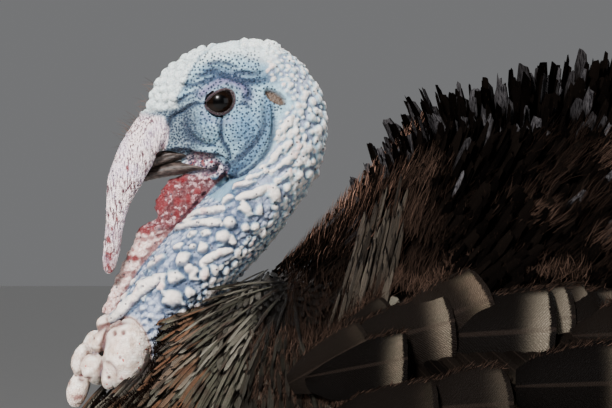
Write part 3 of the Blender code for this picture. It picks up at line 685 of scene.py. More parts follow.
def add_warts(points, normals, height, pearl, rng):
    """The ridges, the warts of the table, then smaller ones scattered between them."""
    x, y, z = points.T
    tree = KDTree(len(points))
    for index, point in enumerate(points):
        tree.insert(point, index)
    tree.balance()
    wobble = 1 + 0.7 * noise(points, 2.4, 21)
    add_ridges(points, wobble, height, pearl)
    taken = add_named_warts(tree, points, normals, wobble, height, pearl, rng)
    size = wart_size(x, z)
    bare = (lobe_share(points) > 0.02) | (dewlap_share(points) > 0.3)
    bare = bare | (snood_share(points) > 0.05) | (pearl > 0.02)
    size = np.where(bare, 0, size)
    low = lumpy(x, y, z)
    candidates = np.flatnonzero(size > 0)
    chosen = candidates[scatter(points[candidates], size[candidates] * WART_GAP, rng, taken)]
    lumps = np.zeros(len(points))
    for index in chosen:
        place = points[index]
        radius = size[index] * rng.uniform(0.6, 1.42)
        side = ramp(abs(place[1]), 12, 22) * ramp(48 - place[0], 0, 14)
        stretch = 1 + side * rng.uniform(0.0, 0.8)
        slope = math.radians(42 + 16 * rng.uniform(-1, 1) - 24 * float(ramp(-place[2], 40, 80)))
        flat = low[index]
        rise = radius * rng.uniform(0.55, 0.95) * (1 - 0.35 * flat)
        raise_wart(tree, points, wobble, place, normals[index], (radius * stretch, radius), slope,
                   rise, height, pearl if flat < 0.5 else lumps, 0.72 + 0.28 * rng.random())


def lobe_share(points):
    """1 well inside the swollen lobes' places and 0 outside them."""
    best = np.zeros(len(points))
    for centre, radii, tilt in LOBES:
        c, s = math.cos(math.radians(-tilt)), math.sin(math.radians(-tilt))
        local = (points - np.array(centre)) @ np.array([[c, 0, s], [0, 1, 0], [-s, 0, c]]).T
        reach = np.linalg.norm(local / np.array(radii), axis=1)
        best = np.maximum(best, 1 - ramp(reach, 1.0, 1.12))
    return best


def dewlap_share(points):
    """1 on the thin red fold under the throat."""
    x, y, z = points.T
    front = np.interp(-z, [36, 42, 49, 58, 66, 75, 86, 99, 112],
                      [5, -2, -8.4, -16, -24.2, -33, -42.6, -50, -56])
    return ramp(front + 0.8 - x, 0, 1.6) * ramp(-z, 35, 37.5) * (1 - ramp(-z, 108, 114)) * (np.abs(y) < 8)


def snood_share(points):
    """1 on the snood, from the line where it leaves the forehead to its tip."""
    away = np.full(len(points), np.inf)
    for x, y, z, radius in smooth_rows(SNOOD, 5)[4:]:
        away = np.minimum(away, np.linalg.norm(points - (x, y, z), axis=1) / (radius + 0.3))
    x, _, z = points.T
    top = ramp(-z - 0.11 * (x + 39), 4.6, 7.6)
    return (1 - ramp(away, 1.10, 1.30)) * top


def spots(x, z, table, noise_at):
    """1 inside any of the ragged spots of a table of centres and half-sizes."""
    best = np.zeros(len(x))
    for cx, cz, a, b in table:
        reach = np.hypot((x - cx) / a, (z - cz) / b) + 0.8 * noise_at
        best = np.maximum(best, 1 - ramp(reach, 0.75, 1.3))
    return best


def knobs(points, where, spacing, rng):
    """1 on top of round knobs, a little longer up the forehead than across, 0 in the grooves between."""
    heights = np.zeros(len(points))
    slanted = points[:, 0] + points[:, 2], (points[:, 2] - points[:, 0]) * 0.72, points[:, 1]
    points = np.stack(slanted, 1) * np.array([0.62, 0.80, 1.0])
    candidates = np.flatnonzero(where > 0.3)
    chosen = candidates[scatter(points[candidates], np.full(len(candidates), spacing), rng)]
    tree = KDTree(len(chosen))
    for number, index in enumerate(chosen):
        tree.insert(points[index], number)
    tree.balance()
    for index in candidates:
        (_, _, first), (_, _, second) = tree.find_n(points[index], 2)
        gap = min(1.0, (second - first) / (spacing * 0.3))
        heights[index] = gap * max(0.0, 1 - (first / (0.74 * spacing)) ** 2)
    return np.sqrt(np.clip(heights, 0, 1))


def carve(points, side, height):
    """Press the pits and the creases into height; returns the painted shade that each pit and crease lays
    on the skin.
    """
    x, y, z = points.T
    crease_shade = np.zeros(len(points))
    for px, pz, size in PITS:
        well = np.exp(-((np.hypot(x - px, z - pz) / size) ** 2)) * ramp(np.abs(y), 4, 9) * (y < 0)
        height -= well * size * 1.1
        # Painted shade in the pit.
        crease_shade = np.maximum(crease_shade, well)
    for path, depth, width in CREASES:
        away, share = line_distance(x, z, path)
        ends = np.sin(np.clip(share, 0.02, 0.98) * math.pi) ** 0.35
        height -= depth * np.exp(-((away / width) ** 2)) * side * ends
        # Painted shade along the crease, a little wider than the crease itself.
        soft = np.exp(-((away / (width * 1.9)) ** 2)) * side * ends * min(1, 0.4 + depth / 2)
        crease_shade = np.maximum(crease_shade, soft)
    return crease_shade


def from_ear(x, z):
    """Distance from the ear hole's middle, where 1 is its edge."""
    ear_x = ((x - EAR[0]) * math.cos(EAR_TILT) + (z - EAR[1]) * math.sin(EAR_TILT)) / EAR_SIZE[0]
    ear_z = (-(x - EAR[0]) * math.sin(EAR_TILT) + (z - EAR[1]) * math.cos(EAR_TILT)) / EAR_SIZE[1]
    return np.hypot(ear_x, ear_z)


def raise_skin(mesh, points, height):
    """Move the skin out by height; returns painted shade (in hollows, folds and on slopes that turn down)
    and how far out each point stands, which is painted as a highlight.
    """
    x, _, z = points.T
    normals = normals_of(mesh)
    once = relaxed(mesh, points, 14)
    hollow = ((once - points) * normals).sum(1)
    deep_hollow = ((relaxed(mesh, once, 70) - points) * normals).sum(1)
    near_height = relaxed(mesh, height[:, None], 9)[:, 0]
    wide_height = relaxed(mesh, near_height[:, None], 36)[:, 0]
    # Painted shade where the skin lies below its neighbours, in hollows and folds.
    shallow = ramp(near_height - height, 0.0, 0.34)
    painted_shade = np.maximum(shallow, 0.9 * ramp(wide_height - near_height, 0.03, 0.55))
    hollow = np.maximum(ramp(hollow, 0.02, 0.22), 0.9 * ramp(deep_hollow, 0.12, 0.9))
    beyond_eye = ramp(np.hypot(x, z), 10, 12)
    painted_shade = np.maximum(painted_shade, hollow * beyond_eye)
    set_points(mesh, at(points + normals * height[:, None]))
    # Painted shade on slopes that turn down and back, away from light above and ahead.
    turned_down = ((relaxed(mesh, normals, 50) - normals_of(mesh)) * (-0.45, 0, 0.9)).sum(1)
    under = ramp(turned_down, 0.0, 0.55) * beyond_eye
    # Less painted shade at the nape.
    nape = ramp(x, 12, 24) * ramp(z, -66, -50)
    painted_shade = np.maximum(painted_shade, 0.95 * under) * (1 - 0.72 * nape)
    return painted_shade, ramp(height - near_height, 0.02, 0.40)


def head_skin():
    """The bare skin of head and neck, with its folds, warts and the marks that its material reads."""
    obj = head_shells().fuse("skin", SKIN_VOXEL, 3)
    mesh = obj.data
    points = (points_of(mesh) - EYES) / MM
    x, y, z = points.T
    side = ramp(np.abs(y), 3, 6.5)
    rng = np.random.default_rng(11)
    height, pearl = np.zeros(len(points)), np.zeros(len(points))
    add_warts(points, normals_of(mesh), height, pearl, rng)
    crease_shade = carve(points, side, height)

    edge = np.interp(z, [-8, -3, 3, 9, 17, 25, 33], [-24, -20, -21, -17, -14, -8, 2])
    forehead = ramp(edge - x, 0, 3.0) * ramp(z + 5.7 - 0.137 * (x + 39), -1.5, 1.5)
    knob = knobs(points, forehead, 3.9, rng)
    crown = ramp(x, 9, 12) * (1 - ramp(x, 30, 34)) * ramp(z, 26.5, 29)
    crown_knob = knobs(points, crown, 5.0, rng)
    height += forehead * (knob * 2.7 - 1.4) + crown * crown_knob * 1.8
    pearl = np.maximum(pearl, crown * crown_knob)
    # Painted shade in the grooves between the forehead's knobs.
    crease_shade = np.maximum(crease_shade, forehead * (1 - np.clip(knob * 2.2, 0, 1)) * 0.2)

    snood = snood_share(points)
    turn = np.arctan2(y + 12, x + 50 + 0.1 * z)
    long_wise = np.stack([turn * 5, z * 0.17, z * 0], 1)
    height += snood * (0.30 * noise(long_wise, 1.0, 4) + 0.12 * noise(long_wise * 1.7, 1.0, 5))
    dewlap = dewlap_share(points) * (1 - snood)
    height += dewlap * (1.0 * noise(points, 3.6, 6) + 0.55 * noise(points, 1.7, 7))
    lobe = lobe_share(points)
    height += lobe * (0.8 * noise(points, 8.0, 8) + 0.25 * noise(points, 3.4, 9))
    height += 0.12 * noise(points, 2.2, 2) + 0.13 * noise(points, 1.2, 3)
    top = ramp(z, 12, 17) * ramp(x, -16, -10) * (1 - ramp(x, 24, 30)) * (1 - crown)
    height += top * (0.5 * noise(points * np.array([0.55, 1, 1.3]), 2.6, 16)
                     + 0.22 * noise(points, 1.3, 17))
    neck = ramp(pearl, 0.0, 0.5)
    height += neck * (1 - lobe) * 0.22 * noise(points * np.array([1, 1, 2.2]), 1.7, 12)
    plain = (1 - neck) * (1 - snood) * (1 - dewlap) * (1 - lobe)
    height += ramp(-z, 46, 52) * plain * 0.30 * noise(points, 2.6, 14)
    ear_reach = from_ear(x, z)
    ear = (1 - ramp(ear_reach, 0.72, 1.05)) * side
    height = height * (1 - ear) - 3.4 * ear
    height += np.exp(-(((ear_reach - 1.25) / 0.22) ** 2)) * side * 0.45
    # The first value is painted shade; crown_light is painted as a highlight on raised points.
    painted_shade, crown_light = raise_skin(mesh, points, height)

    def band(path, width, strength=1.0):
        return strength * np.exp(-((line_distance(x, z, path)[0] / width) ** 2)) * side

    def patch(cx, cz, wide, tall, strength=1.0):
        return strength * np.exp(-(((x - cx) / wide) ** 2 + ((z - cz) / tall) ** 2)) * side

    mauve = np.maximum(band([(-10, 4), (-6, 7.5), (1, 11), (7, 11), (12, 7.5), (14, 3)], 3.4),
                       band([(-9, -4), (-7, -8), (0, -10.5), (5, -9)], 2.0, 0.45))
    ring = np.array([*lid_path(0.7), lid_path(0.7)[0]])
    near_lid = line_distance(x, z, ring)[0]
    rim = (1 - ramp(near_lid, 0.9, 1.7)) * side
    blue = np.maximum.reduce([
        patch(13, -13, 13, 14, 0.8), patch(-8, -9, 9, 7, 0.55), patch(-15, -13, 6, 9, 0.5),
        band([(-7, 16), (5.6, 13), (13, 11), (27, 13)], 4.2, 0.65), patch(21, 21, 11, 8, 0.55),
        band(JAW_PATH, 3.5, 0.75), patch(-22, 4, 8, 4, 0.4), patch(5, -45, 22, 9, 0.55),
        0.5 * ramp(-z, 44, 60) * (1 - ramp(-z, 120, 150)) * ramp(30 - x, 0, 25),
    ])
    mouth = (1 - ramp(np.hypot((x + 9.5) / 13.5, (z + 32.6 + 0.14 * (x + 9.5)) / 6.6), 0.7, 1.0)) * side
    grain = noise(points * np.array([1, 1, 0.5]), 1.1, 15)
    red = np.maximum(spots(x, z, RED_SPOTS, grain) * snood, spots(x, z, RED_PATCHES, grain) * dewlap)
    red = np.maximum(red, spots(x, z, MOUTH_REDS, grain) * side)
    red = np.maximum(red, 0.8 * spots(x, z, LOBE_REDS, grain * 0.6) * ramp(-y, -1, 2))
    lower_tip = snood * ramp(-z, 52, 78) * ramp(noise(points, 3.2, 18), -0.05, 0.25)
    red = np.maximum(red, 0.55 * lower_tip)
    pores = side * (1 - ramp(x - wart_edge(z), -3.5, -1.5)) * (1 - rim) * ramp(z, -42, -36)
    pores = pores * (1 - 0.8 * forehead) * (1 - snood) * (1 - ramp(z, 23, 30))
    lores = pores * ramp(-x, 8, 16) * ramp(-z, -4, 4)
    store(mesh, "tint", np.stack([blue, mauve, snood, dewlap], 1))
    store(mesh, "form", np.stack([pearl, crease_shade, lobe, ear], 1))
    store(mesh, "place", np.stack([rim, pores, mouth, forehead], 1))
    warty = relaxed(mesh, (wart_size(x, z) > 0)[:, None].astype(float), 6)[:, 0]
    # relief holds painted shade, the painted highlight on raised points, the distance from the lid, and the
    # warty share.
    store(mesh, "relief", np.stack([painted_shade, crown_light, near_lid / 4, warty], 1))
    bare_top = 0.8 * ramp(z + 0.25 * np.abs(x - 8), 21, 28) * (1 - ramp(x, 26, 32))
    bald = np.maximum(crown, bare_top * (1 - forehead))
    store(mesh, "mark", np.stack([red, lores, bald, ramp(z, -72, -60)], 1))
    return obj


# ---------------------------------------------------------------- materials


class Paint:
    """Short names for the nodes that a material needs."""

    def __init__(self, name):
        self.material = bpy.data.materials.new(name)
        self.material.use_nodes = True
        self.nodes, self.links = self.material.node_tree.nodes, self.material.node_tree.links
        self.shader = self.nodes["Principled BSDF"]

    def attribute(self, name):
        """The four stored numbers of an attribute, as sockets."""
        node = self.nodes.new("ShaderNodeAttribute")
        node.attribute_name = name
        parts = self.nodes.new("ShaderNodeSeparateColor")
        self.links.new(node.outputs["Color"], parts.inputs[0])
        return [*parts.outputs, node.outputs["Alpha"]]

    def put(self, socket, value):
        if isinstance(value, bpy.types.NodeSocket):
            self.links.new(value, socket)
        elif isinstance(value, tuple):
            socket.default_value = (*value, 1.0) if len(value) == 3 and socket.type == "RGBA" else value
        else:
            socket.default_value = value

    def math(self, operation, a, b=0.0, clamp=False):
        node = self.nodes.new("ShaderNodeMath")
        node.operation = operation
        node.use_clamp = clamp
        self.put(node.inputs[0], a)
        self.put(node.inputs[1], b)
        return node.outputs[0]

    def times(self, a, b):
        return self.math("MULTIPLY", a, b)

    def plus(self, a, b):
        return self.math("ADD", a, b)

    def off_middle(self, value, scale):
        """How far a value is from a half, times scale."""
        return self.times(self.math("SUBTRACT", value, 0.5), scale)

    def mix(self, share, a, b):
        """The colour a where share is 0, and b where it is 1."""
        node = self.nodes.new("ShaderNodeMix")
        node.data_type = "RGBA"
        self.put(node.inputs["Factor"], share)
        self.put(node.inputs["A"], a)
        self.put(node.inputs["B"], b)
        return node.outputs["Result"]

    def between(self, value, low, high, to_low=0.0, to_high=1.0):
        """Smoothly from to_low at low to to_high at high."""
        node = self.nodes.new("ShaderNodeMapRange")
        node.interpolation_type = "SMOOTHSTEP"
        self.put(node.inputs["Value"], value)
        for name, number in (("From Min", low), ("From Max", high), ("To Min", to_low),
                             ("To Max", to_high)):
            node.inputs[name].default_value = number
        return node.outputs["Result"]

    def vector(self, scale=(1.0, 1.0, 1.0)):
        """Object coordinates in millimetres, stretched by scale."""
        place = self.nodes.new("ShaderNodeTexCoord").outputs["Object"]
        mapping = self.nodes.new("ShaderNodeMapping")
        mapping.inputs["Scale"].default_value = [s * 1000.0 for s in scale]
        self.links.new(place, mapping.inputs["Vector"])
        return mapping.outputs[0]

    def noise(self, vector, size, detail=2.0, rough=0.5):
        node = self.nodes.new("ShaderNodeTexNoise")
        self.links.new(vector, node.inputs["Vector"])
        node.inputs["Scale"].default_value = 1 / size
        node.inputs["Detail"].default_value = detail
        node.inputs["Roughness"].default_value = rough
        return node.outputs["Fac"]

    def flat(self):
        """Object coordinates in millimetres as seen from the side: x along the bird and z up."""
        parts = self.nodes.new("ShaderNodeSeparateXYZ")
        self.links.new(self.vector(), parts.inputs[0])
        joined_up = self.nodes.new("ShaderNodeCombineXYZ")
        self.links.new(parts.outputs["X"], joined_up.inputs["X"])
        self.links.new(parts.outputs["Z"], joined_up.inputs["Y"])
        return joined_up.outputs[0]

    def cells(self, vector, size, feature="F1", dimensions="3D", jitter=1.0):
        node = self.nodes.new("ShaderNodeTexVoronoi")
        node.feature = feature
        node.voronoi_dimensions = dimensions
        node.inputs["Randomness"].default_value = jitter
        self.links.new(vector, node.inputs["Vector"])
        node.inputs["Scale"].default_value = 1 / size
        return node.outputs["Distance"]

    def bump(self, height, distance):
        node = self.nodes.new("ShaderNodeBump")
        node.inputs["Distance"].default_value = distance
        node.inputs["Strength"].default_value = 1.0
        self.links.new(height, node.inputs["Height"])
        return node.outputs[0]

    def finish(self, colour, roughness, normal=None, **constants):
        self.put(self.shader.inputs["Base Color"], colour)
        self.put(self.shader.inputs["Roughness"], roughness)
        if normal:
            self.links.new(normal, self.shader.inputs["Normal"])
        for name, value in constants.items():
            self.shader.inputs[name.replace("_", " ")].default_value = value
        return self.material


def face_colour(paint, soft, fine):
    """The blue face, the white warts on blue, and the pale knobs of forehead and crown, with a painted
    highlight on raised points and painted shade in hollows and creases.
    """
    blue, mauve, _, _ = paint.attribute("tint")
    pearl, crease_shade, _, _ = paint.attribute("form")
    forehead = paint.attribute("place")[3]
    painted_shade, high, _, warty = paint.attribute("relief")
    _, lores, crown, _ = paint.attribute("mark")
    pale = paint.mix(soft, (0.10, 0.25, 0.37), (0.52, 0.72, 0.79))
    strong = paint.math("MULTIPLY", blue, paint.between(soft, 0.2, 0.75, 0.75, 1.15), True)
    colour = paint.mix(strong, pale, (0.004, 0.070, 0.18))
    hollow = paint.times(paint.between(pearl, 0.55, 0.0), warty)
    between = paint.mix(fine, (0.11, 0.155, 0.27), (0.42, 0.47, 0.59))
    # Painted highlight where the skin stands out past its neighbours.
    between = paint.mix(paint.times(high, 0.8), between, (0.68, 0.71, 0.77))
    colour = paint.mix(hollow, colour, between)
    wart = paint.mix(soft, (0.68, 0.60, 0.55), (0.86, 0.81, 0.76))
    colour = paint.mix(paint.between(pearl, 0.35, 0.95), colour, wart)
    pink = paint.between(paint.noise(paint.vector(), 9.0, 1.0), 0.60, 0.72)
    pink = paint.times(pink, paint.between(pearl, 0.5, 0.95))
    colour = paint.mix(paint.times(pink, 0.45), colour, (0.74, 0.33, 0.30))
    dull = paint.mix(fine, (0.62, 0.75, 0.76), (0.88, 0.91, 0.89))
    knobbly = paint.math("MAXIMUM", forehead, crown)
    colour = paint.mix(paint.times(knobbly, 0.9), colour, dull)
    lilac = paint.mix(fine, (0.04, 0.028, 0.10), (0.19, 0.145, 0.30))
    colour = paint.mix(paint.times(mauve, 0.85), colour, lilac)
    shade = paint.times(painted_shade, paint.between(knobbly, 0.0, 1.0, 0.90, 0.22))
    colour = paint.mix(shade, colour, (0.018, 0.042, 0.095))
    lore_skin = paint.mix(fine, (0.022, 0.036, 0.060), (0.17, 0.22, 0.26))
    colour = paint.mix(paint.times(lores, 0.85), colour, lore_skin)
    # Painted shade in the creases and pits.
    return paint.mix(paint.times(crease_shade, 0.92), colour, (0.005, 0.017, 0.045))


def snood_colour(paint, plain, dashes):
    """Pale pink with dark lengthwise dashes, and lilac in places."""
    colour = paint.mix(paint.between(dashes, 0.40, 0.54), (0.07, 0.022, 0.032), (0.80, 0.68, 0.69))
    lilac = paint.between(paint.noise(plain, 12.0, 1.0), 0.40, 0.65, 0.0, 0.4)
    return paint.mix(lilac, colour, (0.60, 0.52, 0.68))


def dewlap_colour(paint, plain, speckle, upper, painted_shade):
    """Red with pale specks in the upper part, pale pink below, and painted shade in the folds."""
    flesh = paint.mix(speckle, (0.07, 0.005, 0.010), (0.50, 0.31, 0.33))
    rosy = paint.between(paint.noise(plain, 3.6, 4.0, 0.6), 0.44, 0.52)
    flesh = paint.mix(paint.times(paint.times(rosy, 0.85), upper), flesh, (0.080, 0.0018, 0.005))
    pinkish = paint.mix(speckle, (0.58, 0.38, 0.35), (0.78, 0.66, 0.62))
    flesh = paint.mix(paint.between(upper, 0.7, 0.0, 0.0, 0.85), flesh, pinkish)
    # Painted shade in the folds.
    folds = paint.mix(paint.between(upper, 0.0, 0.6), (0.16, 0.045, 0.045), (0.045, 0.004, 0.008))
    return paint.mix(paint.times(painted_shade, 0.85), flesh, folds)


def lobe_colour(paint, plain, soft, painted_shade, crease_shade):
    """Cream lobes with a blush, a few red marks, and brown painted shade in hollows and creases."""
    colour = paint.mix(paint.between(soft, 0.3, 0.7), (0.60, 0.46, 0.38), (0.86, 0.80, 0.73))
    marks = paint.between(paint.noise(plain, 3.4, 2.0), 0.67, 0.71)
    colour = paint.mix(marks, colour, (0.45, 0.08, 0.06))
    blush = paint.between(paint.noise(plain, 10.0, 1.0), 0.5, 0.7, 0.0, 0.35)
    colour = paint.mix(blush, colour, (0.62, 0.38, 0.34))
    # Brown painted shade in the hollows between the lobes and in their creases.
    colour = paint.mix(paint.times(painted_shade, 0.9), colour, (0.13, 0.055, 0.040))
    return paint.mix(paint.times(crease_shade, 0.9), colour, (0.12, 0.05, 0.05))


def pore_dots(paint, side_on, pores, lores):
    """Dark pores, wide apart on the face and close together in front of the eye."""
    wide = paint.between(paint.cells(side_on, 1.95, dimensions="2D", jitter=0.9), 0.31, 0.18)
    wide = paint.times(paint.times(wide, pores), paint.between(lores, 0.6, 0.2))
    close = paint.between(paint.cells(side_on, 1.3, dimensions="2D", jitter=0.9), 0.44, 0.27)
    return paint.math("MAXIMUM", wide, paint.times(close, lores))


def skin_material():
    """Bare skin: pale blue face with dark pores, white warts on blue, red and white dewlap and snood."""
    paint = Paint("bare_skin")
    _, _, snood, dewlap = paint.attribute("tint")
    _, crease_shade, lobe, ear = paint.attribute("form")
    rim, pores, mouth, _ = paint.attribute("place")
    painted_shade, _, near_lid, warty = paint.attribute("relief")
    red, lores, _, upper = paint.attribute("mark")
    plain = paint.vector()
    soft = paint.noise(plain, 5.0, 3.0)
    fine = paint.noise(plain, 0.9, 4.0, 0.6)
    grain = paint.noise(plain, 0.45, 2.0, 0.6)

    colour = face_colour(paint, soft, fine)
    dashes = paint.noise(paint.vector((0.9, 0.9, 0.17)), 0.75, 3.0, 0.6)
    colour = paint.mix(snood, colour, snood_colour(paint, plain, dashes))
    speckle = paint.between(paint.noise(plain, 1.9, 4.0, 0.62), 0.42, 0.60)
    colour = paint.mix(dewlap, colour, dewlap_colour(paint, plain, speckle, upper, painted_shade))
    jaw = paint.mix(speckle, (0.22, 0.12, 0.18), (0.78, 0.70, 0.73))
    # Painted shade in the folds round the mouth.
    jaw = paint.mix(paint.times(painted_shade, 0.8), jaw, (0.07, 0.025, 0.035))
    colour = paint.mix(paint.times(mouth, 0.92), colour, jaw)
    colour = paint.mix(lobe, colour, lobe_colour(paint, plain, soft, painted_shade, crease_shade))
    colour = paint.mix(paint.times(red, 0.92), colour,
                       paint.mix(fine, (0.15, 0.003, 0.008), (0.09, 0.0015, 0.005)))
    # Painted shade in the creases of the dewlap and mouth.
    fold_shade = paint.times(crease_shade, paint.math("MAXIMUM", dewlap, mouth))
    colour = paint.mix(paint.times(fold_shade, 0.9), colour, (0.06, 0.008, 0.02))

    side_on = paint.flat()
    dots = pore_dots(paint, side_on, pores, lores)
    colour = paint.mix(paint.times(dots, 0.95), colour, (0.008, 0.022, 0.05))
    follicles = paint.between(paint.cells(side_on, 7.5, dimensions="2D"), 0.085, 0.055)
    specks = paint.times(follicles, paint.times(warty, paint.between(lobe, 0.6, 0.2)))
    colour = paint.mix(paint.times(specks, 0.85), colour, (0.02, 0.02, 0.035))
    lines = paint.plus(paint.times(near_lid, 34.0), paint.times(fine, 5.0))
    lines = paint.math("SINE", lines)
    lid = paint.mix(paint.between(lines, -0.2, 0.9), (0.004, 0.001, 0.002), (0.062, 0.017, 0.026))
    colour = paint.mix(rim, colour, lid)
    hairs = paint.noise(paint.vector((1.0, 1.0, 0.3)), 0.8, 3.0)
    colour = paint.mix(ear, colour, paint.mix(hairs, (0.012, 0.008, 0.006), (0.16, 0.105, 0.075)))

    # The body's skin under the coat is painted near black, as the shade deep among the feathers.
    feathered = paint.attribute("feathered")[0]
    colour = paint.mix(feathered, colour, paint.mix(soft, (0.010, 0.008, 0.008), (0.022, 0.016, 0.014)))

    wrinkle = paint.cells(plain, 1.5, "DISTANCE_TO_EDGE")
    relief = paint.plus(paint.times(fine, 0.9), paint.between(wrinkle, 0.0, 0.16, 0.0, 0.55))
    relief = paint.plus(relief, paint.times(grain, 0.35))
    relief = paint.math("SUBTRACT", relief, paint.times(dots, 1.6))
    relief = paint.plus(relief, paint.times(paint.times(dashes, snood), 2.4))
    normal = paint.bump(relief, 0.0005)
    made = paint.finish(colour, paint.between(fine, 0.2, 0.8, 0.34, 0.54), normal)
    paint.shader.inputs["Subsurface Weight"].default_value = 0.06
    paint.shader.inputs["Subsurface Radius"].default_value = (1.0, 0.35, 0.2)
    paint.shader.inputs["Subsurface Scale"].default_value = 0.001
    return made


# ---------------------------------------------------------------- bill

UPPER_BILL = [  # ribs in side view: top, bottom and half-width
    (-10, -25.9, -10, -27.4, 6.6), (-15, -25.0, -15, -28.0, 7.4), (-20, -24.4, -20, -29.2, 7.8),
    (-26, -24.0, -26, -31.0, 7.4), (-31, -25.0, -31.4, -32.6, 6.4), (-36, -27.4, -36.6, -34.4, 5.2),
    (-40, -30.6, -40.6, -36.8, 4.0), (-43.4, -34.6, -43.6, -40.2, 2.8), (-45.6, -39.0, -44.4, -43.0, 1.6),
    (-46.2, -43.6, -45.4, -45.6, 0.5),
]
LOWER_BILL = [
    (-6, -33.0, -6, -34.8, 6.4), (-12, -31.6, -12, -35.4, 7.2), (-18, -30.6, -18, -36.6, 7.2),
    (-24, -30.4, -24, -37.8, 6.8), (-30, -31.8, -30, -38.8, 5.8), (-35, -33.6, -35, -39.8, 4.6),
    (-39, -36.0, -39, -40.8, 3.2), (-42, -38.8, -42, -41.4, 1.4),
]


def bill(material):
    """Upper and lower bill: horn with fine growth lines, a nostril slit and a hooked tip."""
    for name, ribs, node in (("upper", UPPER_BILL, "bill_upper"), ("lower", LOWER_BILL, "bill_lower")):
        rings = rib_rings(smooth_rows(ribs, 7), 40)
        points, quads, tris = loft_parts(rings)
        local = (points - EYES) / MM
        x, y, z = local.T
        lines = 0.10 * np.sin((z * 0.9 + x * 0.35) * 5.0 + 1.4 * noise(local, 4.0, 3))
        lines = lines + 0.10 * noise(local, 1.6, 4)
        ridge = np.zeros(len(x))
        if name == "upper":
            slit, _ = line_distance(x, z, [(-24, -27.2), (-29, -28.6), (-32, -30)])
            ridge = -1.1 * np.exp(-((slit / 0.9) ** 2)) * ramp(np.abs(y), 3, 5)
        out = unit(local - np.stack([x, y * 0, np.interp(x, *edge_middles(ribs))], 1) + 1e-6)
        moved = local + out * (lines + ridge)[:, None]
        piece = mesh_object(f"bill_{name}_horn", at(moved), quads, tris)
        finish_piece(piece, material, "bill", node)


def edge_middles(ribs):
    """The ribs' x, rising, and the height of their middles, for interpolation."""
    rows = np.array(ribs)[::-1]
    return (rows[:, 0] + rows[:, 2]) / 2, (rows[:, 1] + rows[:, 3]) / 2


def bill_material():
    paint = Paint("bill_horn")
    plain = paint.vector()
    streak = paint.noise(paint.vector((0.35, 0.6, 1.6)), 1.5, 4.0, 0.65)
    soft = paint.noise(plain, 5.0, 2.0)
    colour = paint.mix(paint.between(streak, 0.35, 0.70), (0.008, 0.0055, 0.005), (0.062, 0.044, 0.038))
    colour = paint.mix(paint.between(soft, 0.55, 0.75, 0.0, 0.5), colour, (0.10, 0.075, 0.068))
    return paint.finish(colour, paint.between(streak, 0.2, 0.8, 0.44, 0.60), paint.bump(streak, 0.0003),
                        Specular_IOR_Level=0.3)


# ---------------------------------------------------------------- the body's outer surface

FRONT_POLE = math.radians(58)  # the feathers part at the nape, this far above straight ahead
REAR_POLE = math.radians(-8)
FRONT_MIDDLE, REAR_MIDDLE = (108, 0, -215), (338, 0, -200)  # ends of the line that the rays leave from
ROWS, COLUMNS = 61, 73  # of the grid of rays, from nape to tail and once round


def trunk_rays():
    """The trunk's surface on a grid: rows run from the nape to the tail, columns round the body."""
    tree = tree_of(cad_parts["trunk"].data)
    grid = np.zeros((ROWS, COLUMNS, 3))
    for i, down in enumerate(np.linspace(0, math.pi, ROWS)):
        share = down / math.pi
        pitch = FRONT_POLE + (REAR_POLE - FRONT_POLE) * share
        start = at(FRONT_MIDDLE) + (at(REAR_MIDDLE) - at(FRONT_MIDDLE)) * (share * share * (3 - 2 * share))
        ahead = np.array([-math.cos(pitch), 0, math.sin(pitch)])
        up = np.array([math.sin(pitch), 0, math.cos(pitch)])
        for j, turn in enumerate(np.linspace(0, TURN, COLUMNS)):
            away = math.cos(turn) * up + math.sin(turn) * np.array([0, 1.0, 0])
            ray = math.cos(down) * ahead + math.sin(down) * away
            hit = tree.ray_cast(Vector(start), Vector(ray))[0]
            grid[i, j] = hit
    return grid


GRID = trunk_rays()


def grid_normals():
    down = np.gradient(GRID, axis=0)
    ring = np.concatenate([GRID[:, -2:-1], GRID, GRID[:, 1:2]], axis=1)
    round_ = (ring[:, 2:] - ring[:, :-2]) / 2
    normal = np.cross(down, round_)
    normal[0], normal[-1] = normal[1].mean(0), normal[-2].mean(0)
    normal /= np.linalg.norm(normal, axis=2)[..., None]
    middle = GRID.mean((0, 1))
    if ((GRID - middle) * normal).sum() < 0:
        normal = -normal
    return normal


NORMALS = grid_normals()


def on_grid(values, down, turn):
    """Values between the grid's points. down is from 0 to 1 along the body, turn in shares of a round."""
    a = np.clip(down, 0, 1) * (ROWS - 1)
    b = (turn % 1.0) * (COLUMNS - 1)
    i, j = np.minimum(a.astype(int), ROWS - 2), np.minimum(b.astype(int), COLUMNS - 2)
    s, t = (a - i)[:, None], (b - j)[:, None]
    upper = values[i, j] * (1 - t) + values[i, j + 1] * t
    lower = values[i + 1, j] * (1 - t) + values[i + 1, j + 1] * t
    return upper * (1 - s) + lower * s


def surface(down, turn):
    return on_grid(GRID, down, turn)


def outward(down, turn):
    normal = on_grid(NORMALS, down, turn)
    return normal / np.linalg.norm(normal, axis=1)[:, None]


def from_top(turn):
    """Degrees from the middle of the back, 0 to 180, on either side."""
    return np.abs((turn % 1.0 + 0.5) % 1.0 - 0.5) * 360


def mantle(down, turn):
    """1 in the raised feathers of the upper back, 0 in the feathers that lie."""
    top = 1 - ramp(from_top(turn), 62, 84)
    return top * ramp(down, 0.02, 0.08) * (1 - ramp(down, 0.55, 0.72))


def coat_depth(down, turn):
    """How far the skin lies inside the tips of the feathers."""
    lying = (4.5 + 12 * ramp(down, 0.04, 0.3)) * MM
    return lying + mantle(down, turn) * 30 * MM


# ---------------------------------------------------------------- feathers

